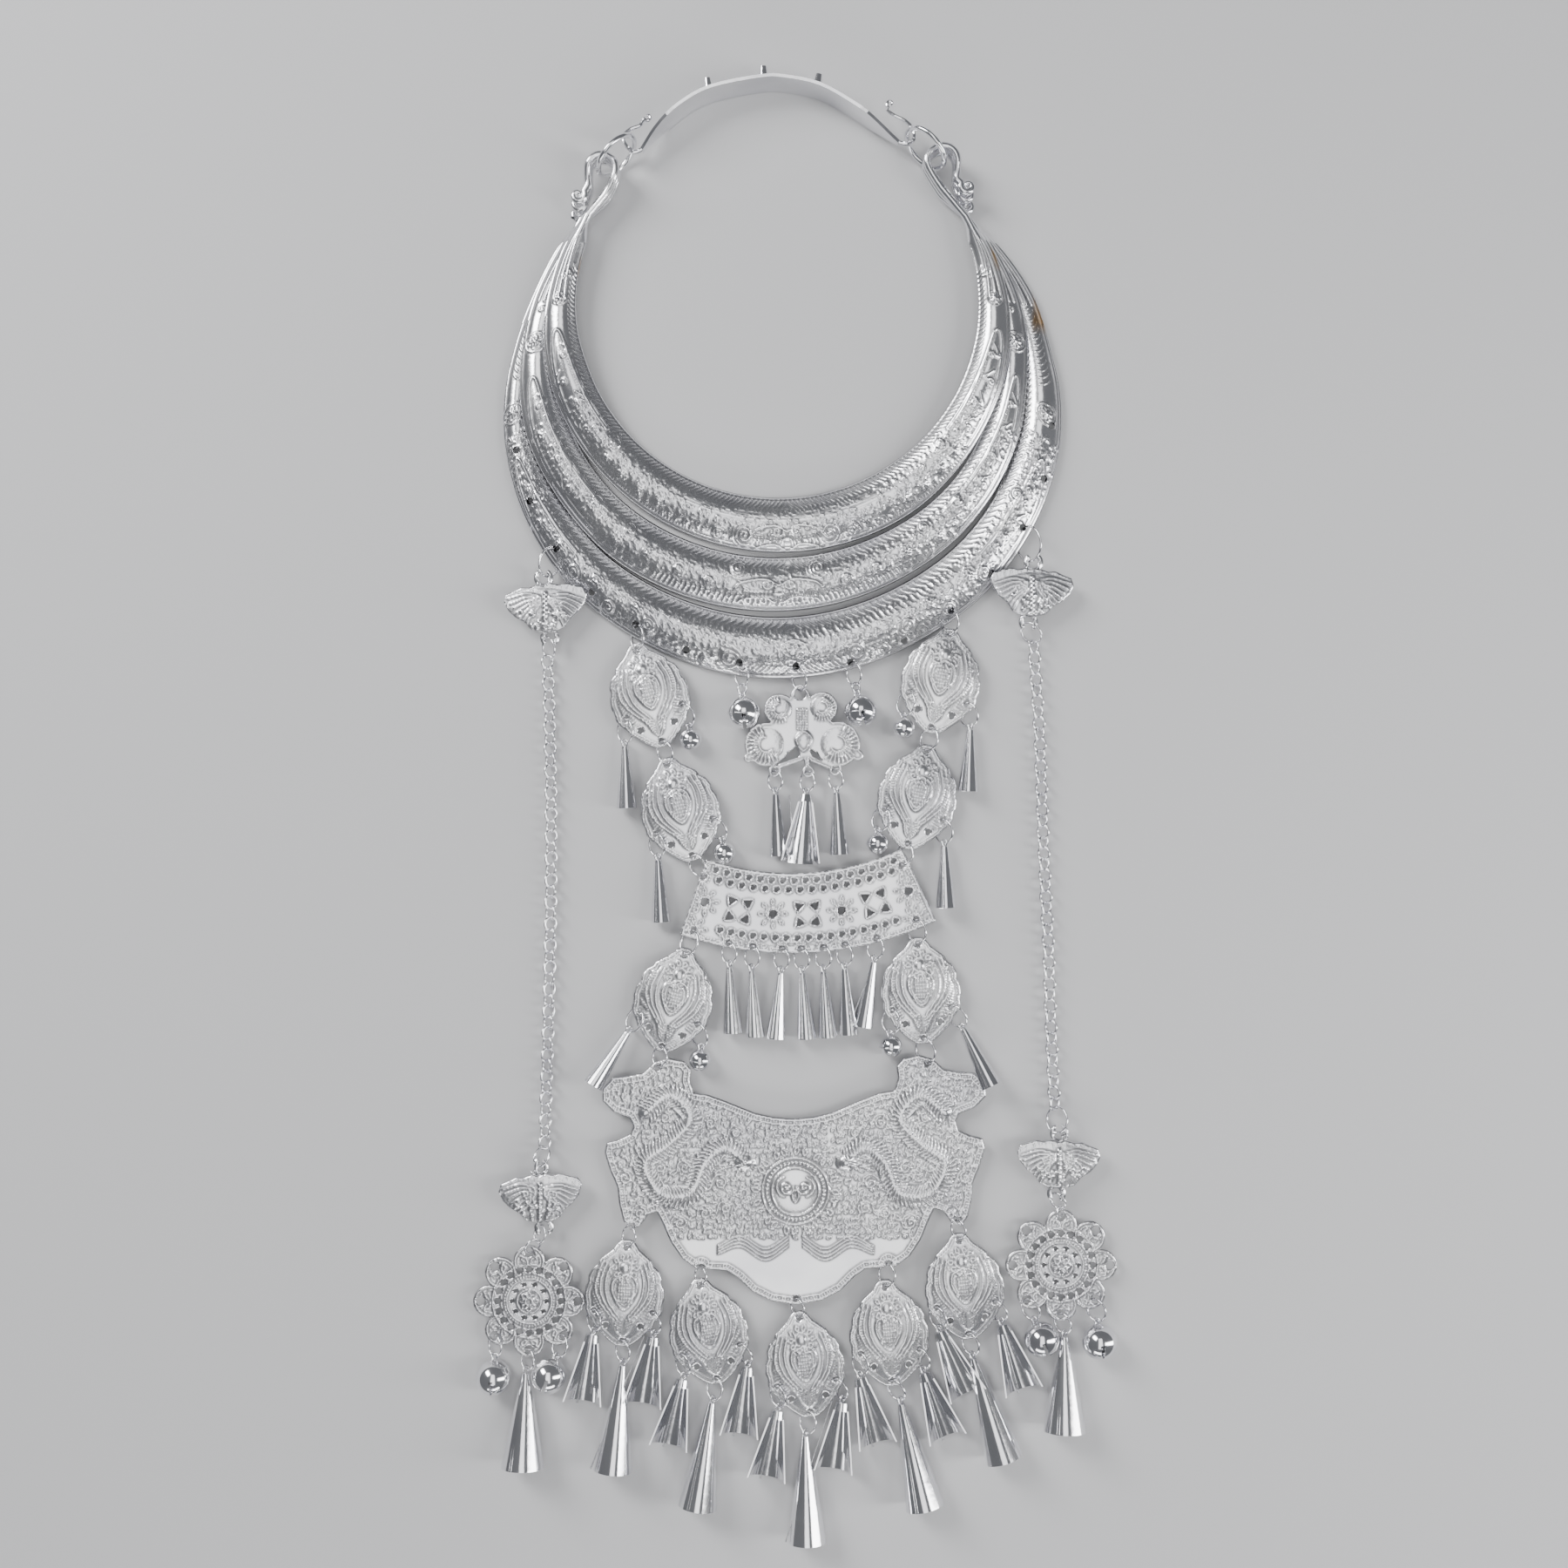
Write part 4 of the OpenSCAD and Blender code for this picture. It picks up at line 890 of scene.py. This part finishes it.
def build_leaf(node):
    r = blank(node)
    at, a = leaf_frame(node)
    outline = top_loops(node)[0]
    r.stroke(inset(outline, 0.7), 0.7, 0.35)
    r.stroke(inset(outline, 1.7), 0.5, 0.25)
    put = lambda q: place(q, at, a)
    boss = put([[0, -8]])[0]
    r.dome(boss, (2.4, 2.4), 0.7)
    r.stroke(put(arc((0, -8), 2.7, 0, 360)), 0.6, 0.35)
    for k in range(10):
        r.stroke(put(lens(place([[3.3, 0]], (0, -8), k * 36)[0], 2.3, 1.5, k * 36)), 0.5, 0.4)
    r.beads(put(arc((0, -8), 6.1, 180, 360)), 0.95, 0.6, 0.3)
    shield = closed_line([(0, -10.6), (4.2, -12.6), (4.6, -18), (0, -24.2), (-4.6, -18), (-4.2, -12.6)])
    r.dome(put([[0, -17]])[0], (4.2, 6), 0.5)
    r.stroke(put(shield), 0.75, 0.55)
    r.stroke(put(place(shield, (0, -3.5), 0, 0.8)), 0.5, 0.4)
    for y in np.arange(-21, -12.5, 1.3):
        r.beads(put([[-2.2, y], [2.2, y]]), 1.1, 0.6, 0.55)
    for side in (-1, 1):
        for k in range(3):
            line = [(side * (6 + 1.5 * k), -7 + 0.6 * k), (side * (7.6 + 2 * k), -14),
                    (side * (6.4 + 1.9 * k), -21), (side * (1.6 + 0.6 * k), -28 - 1.2 * k)]
            r.stroke(put(smooth_line(line)), 0.6, 0.4)
        for k in range(18):
            y = -8.5 - k * 1.15
            x = 7.2 + 2.6 * math.sin(math.pi * (k + 2) / 20)
            r.stroke(put([[side * x, y], [side * (x + 2.9), y - 1.3]]), 0.5, 0.35)
        for k in range(6):
            low = [[side * 0.7, -29 - 1.2 * k], [side * (5 - 0.5 * k), -27 - 1.2 * k]]
            r.stroke(put(low), 0.5, 0.35)
    trim(r, node)
    sheet(node, r, 0.5)


def dragon(r, at, side):
    """A coiled, scaly body with fins, a head towards the middle and clouds round it."""
    body = [(60, 10), (50, 17), (42, 8), (50, -2), (60, -10),
            (54, -22), (42, -22), (36, -10), (28, -4), (20, -10)]
    line = smooth_line([(at[0] + side * x, at[1] + y) for x, y in body])
    for width, height in ((5.4, 0.5), (3.4, 0.75)):
        r.stroke(line[::6], width, height)
    d = np.gradient(line, axis=0)
    d /= np.linalg.norm(d, axis=1, keepdims=True)
    out = np.stack([-d[:, 1], d[:, 0]], 1)
    for k in range(8, len(line) - 8, 11):
        for s in (-1, 1):
            a = line[k] + out[k] * s * 2.4
            r.stroke([a, a + out[k] * s * 1.9 - d[k] * 1.3], 0.7, 0.6)
        scale = [line[k] - out[k] * 1.9, line[k] + d[k] * 0.9, line[k] + out[k] * 1.9]
        r.stroke(smooth_line(scale, 0.2), 0.45, 1.0)
    head = line[-1]
    r.dome(head, (4.2, 3.4), 0.8)
    r.dots([head + [side * 1, 1.2]], 1.2, 1.2)
    for k in range(5):
        r.stroke(smooth_line([head + [side * 2, 0], head + [side * (5 + k), 4 - 1.6 * k],
                              head + [side * (7.4 + k), 6.4 - 2.4 * k]], 0.2), 0.6, 0.5)
    clouds = ((66, 4, 2.4), (34, 6, 2.3), (44, -12, 2.2), (68, -16, 2.4), (62, -30, 2.4), (30, -18, 2.4),
              (46, -34, 2.6), (36, -30, 2.2), (24, 2, 1.8), (52, 8, 2), (28, -28, 2), (54, -12, 1.9))
    for x, y, size in clouds:
        c = np.array([at[0] + side * x, at[1] + y])
        r.stroke(spiral(c, size, 1.7, 90, side), 0.65, 0.5)
        r.stroke(arc(c, size + 0.9, 20, 200), 0.5, 0.4)
        r.stroke(lens(c + [side * (size + 1), -1], 3.6, 1.5, -30 if side > 0 else 210), 0.55, 0.4)


def build_plate():
    node = "big_plate"
    r = blank(node, 0.12)
    outline = top_loops(node)[0]
    centre = np.array([7.0, -357.2])
    r.stroke(inset(outline, 0.8), 0.8, 0.45)
    r.stroke(inset(outline, 2.6), 0.7, 0.35)
    r.beads(inset(outline, 1.7), 1.15, 0.85, 0.5)
    for side in (-1, 1):
        dragon(r, (centre[0], -336.0), side)
    r.dome(centre, (9.2, 9.2), 0.7)
    r.stroke(arc(centre, 9.4, 0, 360), 0.8, 0.7)
    r.beads(arc(centre, 11.4, 0, 360), 1.6, 1.2, 0.7)
    r.stroke(arc(centre, 13.2, 0, 360), 0.7, 0.55)
    for side in (-1, 1):
        eye = centre + [side * 3.6, 1.6]
        r.stroke(spiral(eye, 2.9, 1.4, 90 + side * 90, side), 0.9, 0.8)
        r.stroke(arc(eye, 3.9, 90 - side * 90 - 80, 90 - side * 90 + 80), 0.6, 0.5)
    r.stroke(lens(centre + [0, -4.2], 5, 2.6, 90), 0.8, 0.8)
    for k in range(24):
        a = k * 15.0
        tip = place([[14.4, 0]], centre, a)[0]
        r.stroke(lens(tip, 3.4, 1.7, a + (18 if k % 2 else -18)), 0.6, 0.5)
    for side in (-1, 1):
        for k in range(4):
            tail = [(side * 3, -18 - 1.4 * k), (side * 12, -23 - 1.5 * k),
                    (side * 22, -18 - 1.4 * k), (side * 31, -22 - k)]
            r.stroke(smooth_line([(centre[0] + x, centre[1] + y) for x, y in tail]), 0.6, 0.5)
    left, right = -68.0, 82.0
    for x in np.arange(left, right, 1.9):
        for y in np.arange(-376.0, -304.0, 1.9):
            c = np.array([x, y]) + rng.uniform(-0.5, 0.5, 2)
            if r.at(c[None])[0] < 0.08 and np.hypot(*(c - centre)) > 13:
                a = rng.uniform(0, 180)
                r.stroke(lens(c, 1.8, 0.9, a), 0.45, 0.35)
    trim(r, node, 0.4)
    sheet(node, r, 0.46)


def build_band():
    node = "lattice_band"
    r = blank(node)
    loops = top_loops(node)
    r.stroke(inset(loops[0], 0.8), 0.8, 0.4)
    r.beads(inset(loops[0], 1.8), 1.2, 0.7, 0.35)
    for q in loops[1:]:
        c = q.mean(0)[:2]
        size = np.hypot(*(q[:, :2] - c).T).mean()
        if size < 1.1:
            r.stroke(arc(c, size + 0.6, 0, 360), 0.55, 0.35)
        elif size < 2:
            r.beads(arc(c, size + 1.3, 0, 360), 1.0, 0.7, 0.4)
            r.stroke(arc(c, size + 0.6, 0, 360), 0.5, 0.3)
            for a in range(0, 360, 45):
                tip = place([[size + 2.0, 0]], c, a)[0]
                r.stroke(lens(tip, 2.4, 1.2, a), 0.45, 0.35)
        else:
            r.stroke(inset(q, -0.6), 0.5, 0.35)
    trim(r, node, 0.3)
    sheet(node, r, 0.5, 0.7)


def build_rosette(node):
    r = blank(node)
    c = box_middle(node)
    r.dome(c, (4.2, 4.2), 0.8)
    for k in range(8):
        r.stroke(lens(place([[1.2, 0]], c, k * 45)[0], 2.8, 1.6, k * 45), 0.5, 0.5)
    for radius in (4.8, 8.9, 11.2, 14.6):
        r.stroke(arc(c, radius, 0, 360), 0.6, 0.4)
    r.beads(arc(c, 9.9, 0, 360), 1.2, 0.9, 0.45)
    for k in range(8):
        a = k * 45
        p = place([[15.8, 0]], c, a)[0]
        r.stroke(arc(p, 5.6, a - 130, a + 130), 0.8, 0.45)
        r.stroke(arc(p, 4.5, a - 120, a + 120), 0.5, 0.3)
        for s in (-1, 1):
            outside = [[15.2, s * 0.6], [16.4, s * 3.0], [19, s * 2.6]]
            inside = [[15.6, s * 0.4], [17.2, s * 1.6], [18, s * 3.8]]
            r.beads(smooth_line(place(outside, c, a)), 0.9, 0.7, 0.4)
            r.stroke(smooth_line(place(inside, c, a)), 0.5, 0.35)
    trim(r, node, 0.3)
    sheet(node, r, 0.48)


def build_flower():
    node = "flower"
    r = blank(node)
    at = np.array([8.9, -159.4])
    r.stroke(inset(top_loops(node)[0], 0.6), 0.6, 0.35)
    petals = ((-8.2, -5.6, 6, 200), (8.8, -4.8, 6, -20), (-13.4, -19.6, 8.6, 210), (15, -19.4, 8.6, -30))
    for x, y, size, start in petals:
        c = at + [x, y]
        r.dome(c, (size * 0.8, size * 0.8), 0.7)
        for k in range(15):
            a = start - 100 + k * 14
            r.stroke(place([[size * 0.42, 0], [size * 0.9, 0]], c, a), 0.55, 0.45)
        r.stroke(arc(c, size * 0.36, start - 110, start + 110), 0.6, 0.5)
        r.beads(arc(c, size * 0.6, start - 105, start + 105), 1.0, 0.6, 0.55)
    for y in np.arange(-13.5, -5.5, 1.1):
        r.beads([at + [-0.9, y], at + [2.3, y]], 1.05, 0.85, 0.6)
    r.dome(at + [1.4, -18], (3.6, 4.2), 0.9)
    heart = [at + [1.4, -14.4], at + [4.6, -17.4], at + [1.4, -22.2], at + [-1.8, -17.4]]
    r.stroke(closed_line(heart), 0.6, 0.6)
    trim(r, node, 0.3)
    sheet(node, r, 0.45, 1.4, CAST)


def build_butterfly(node):
    r = blank(node)
    c = box_middle(node) + [0, -0.6]
    r.dome(c, (15.5, 8.5), 0.9)
    for s in (-1, 1):
        for k in range(7):
            line = [(s * 1.5, 5 - 0.5 * k), (s * (8 - 0.4 * k), 6 - 1.5 * k),
                    (s * (15 - 1.2 * k), 4 - 1.9 * k)]
            r.stroke(smooth_line([c + p for p in line]), 0.7, 0.5)
        r.stroke(spiral(c + [s * 5.4, 2.4], 2.2, 1.5, 90, s), 0.7, 0.5)
    for k in range(46):
        p = rng.uniform((-11, -9), (11, -0.5))
        if abs(p[0]) < 12 + p[1]:
            r.dots([c + p], 1.7, 0.75)
    r.beads([c + [0, -8], c + [0, 6]], 1.7, 1.9, 0.9)
    trim(r, node, 0.3)
    sheet(node, r, 0.5, 1.6, CAST)


def build_sheets():
    for node in sorted(nodes):
        if node.startswith("leaf"):
            build_leaf(node)
        elif node.startswith("butterfly"):
            build_butterfly(node)
        elif node in ("rosette_left", "rosette_right"):
            build_rosette(node)
    build_plate()
    build_band()
    build_flower()


# CAD pieces that keep their own meshes

def build_plain():
    sheets = ("crescent", "leaf", "butterfly", "rosette_left", "rosette_right",
              "big_plate", "lattice_band", "flower")
    for name, node in nodes.items():
        if name.startswith(sheets) and name != "flower_drops":
            continue
        node.data.materials.clear()
        node.data.materials.append(WIRE if name.startswith(("rings", "chain", "clasp")) else SMOOTH)


# Seams laid on the rolled cones and turned bells

def loose_parts(node):
    """Points of each separate solid of a CAD node."""
    points, tri = cad(node)
    group = np.arange(len(points))
    for _ in range(60):
        before = group.copy()
        low = group[tri].min(1)
        for k in range(3):
            np.minimum.at(group, tri[:, k], low)
        group = group[group]
        if (group == before).all():
            break
    return [points[group == g] for g in np.unique(group[tri])]


def make_seams(name, parts, painted_shade):
    """One piece of several wires, each given as points and quads, all with the same painted shade amount."""
    counts = np.cumsum([0] + [len(p) for p, _ in parts])
    points = np.concatenate([p for p, _ in parts])
    faces = np.concatenate([f + n for (_, f), n in zip(parts, counts)])
    make(name, points, faces, SMOOTH, np.full(len(points), painted_shade))


def axis_of(points):
    """Middle, direction and length of a long part, pointing to its wider end."""
    c = points.mean(0)
    d = np.linalg.svd(points - c, full_matrices=False)[2][0]
    along = (points - c) @ d
    off = np.linalg.norm(points - c - np.outer(along, d), axis=1)
    if off[along < along.min() + 2].max() > off[along > along.max() - 2].max():
        d = -d
        along = -along
    return c, d, along.min(), along.max()


def build_cone_trim(node):
    """An overlapped seam of two raised lines on each cone of a node."""
    parts = []
    for q in loose_parts(node):
        if np.ptp(q, 0).max() < 15:
            continue
        c, d, low, high = axis_of(q)
        along = (q - c) @ d
        end = q[along > high - 0.3]
        start = q[(along > low + 3.4) & (along < low + 7)]
        if len(end) < 12 or len(start) < 6:
            continue
        mouth = end.mean(0)
        r = np.linalg.norm(end - mouth, axis=1).max()
        side = np.cross(d, [0, 0, 1.0])
        side /= np.linalg.norm(side)
        up = np.cross(side, d)
        up *= np.sign(up[2])
        neck = c + d * (low + 3.2)
        for a in (24, 31):
            w = math.cos(math.radians(a)) * up + math.sin(math.radians(a)) * side
            line = [neck + w * 1.45 + d * 0.6, mouth + w * (r - 0.12) - d * 0.3]
            parts.append(tube(np.linspace(*line, 16), 0.16, 6))
    # Painted shade of 0.2 on the cone seams.
    make_seams(node + "_seams", parts, 0.2)


def build_bell_trim(node):
    """An equator seam round each bell of a node."""
    parts = []
    for q in loose_parts(node):
        size = np.ptp(q, 0)
        if size.max() > 19 or size.max() < 8:
            continue
        r = np.sort(size)[1] / 2
        far = q[np.argsort(q[:, 1])[:60]].mean(0)
        axis = far - q[np.argmax(q[:, 1])]
        axis[2] = 0
        axis /= np.linalg.norm(axis)
        centre = (q.min(0) + q.max(0)) / 2
        centre[:2] = far[:2] - axis[:2] * (r - 0.25)
        u = np.array([-axis[1], axis[0], 0])
        a = np.linspace(0, 2 * math.pi, 40, endpoint=False)[:, None]
        ring = centre + (r + 0.02) * (np.cos(a) * u + np.sin(a) * np.array([0, 0, 1.0]))
        parts.append(tube(ring, 0.2, 6, closed=True))
    make_seams(node + "_seam", parts, 0.0)


def build_trim():
    for node in sorted(nodes):
        if node.startswith(("cone", "band_cones", "drops_low", "rosette_drops", "flower_drops")):
            build_cone_trim(node)
        if node.startswith(("bell", "torque_bell")):
            build_bell_trim(node)


# Floor, light and camera

def area_light(name, at, towards, size, power):
    data = bpy.data.lights.new(name, "AREA")
    data.energy = power
    data.shape = "RECTANGLE"
    data.size, data.size_y = size
    lamp = bpy.data.objects.new(name, data)
    lamp.location = at
    lamp.rotation_euler = (Vector(towards) - Vector(at)).to_track_quat("-Z", "Y").to_euler()
    bpy.context.scene.collection.objects.link(lamp)


MIDDLE = Vector((2.45, -194.8, 0)) * MM
CAMERA_HEIGHT = 0.68
PHOTO_WIDTH = 0.63


def build_stage():
    bpy.ops.mesh.primitive_plane_add(size=12, location=(MIDDLE.x, MIDDLE.y, -0.0002))
    floor = bpy.context.object
    floor.name = "floor"
    m = bpy.data.materials.new("pale_floor")
    m.use_nodes = True
    body = m.node_tree.nodes["Principled BSDF"]
    body.inputs["Base Color"].default_value = (0.55, 0.55, 0.56, 1)
    body.inputs["Roughness"].default_value = 0.8
    floor.data.materials.append(m)
    world = bpy.data.worlds.new("studio")
    bpy.context.scene.world = world
    world.use_nodes = True
    back = world.node_tree.nodes["Background"]
    back.inputs["Color"].default_value = (0.8, 0.82, 0.86, 1)
    back.inputs["Strength"].default_value = 0.2
    x, y = MIDDLE.x, MIDDLE.y
    area_light("top", (x, y - 0.05, 1.7), (x, y, 0), (0.8, 2.2), 11)
    area_light("key", (x - 0.9, y + 0.8, 0.9), (x, y, 0), (0.5, 0.9), 22)
    area_light("fill", (x + 1.0, y - 0.2, 0.6), (x, y, 0), (0.3, 1.2), 12)
    area_light("low", (x, y - 1.2, 0.5), (x, y, 0), (1.2, 0.25), 6)
    data = bpy.data.cameras.new("camera")
    data.sensor_fit = "HORIZONTAL"
    data.sensor_width = 36
    data.lens = 36 * CAMERA_HEIGHT / PHOTO_WIDTH
    camera = bpy.data.objects.new("camera", data)
    camera.location = (MIDDLE.x, MIDDLE.y, CAMERA_HEIGHT)
    bpy.context.scene.collection.objects.link(camera)
    bpy.context.scene.camera = camera


build_crescents()
build_sheets()
build_plain()
build_trim()
build_stage()
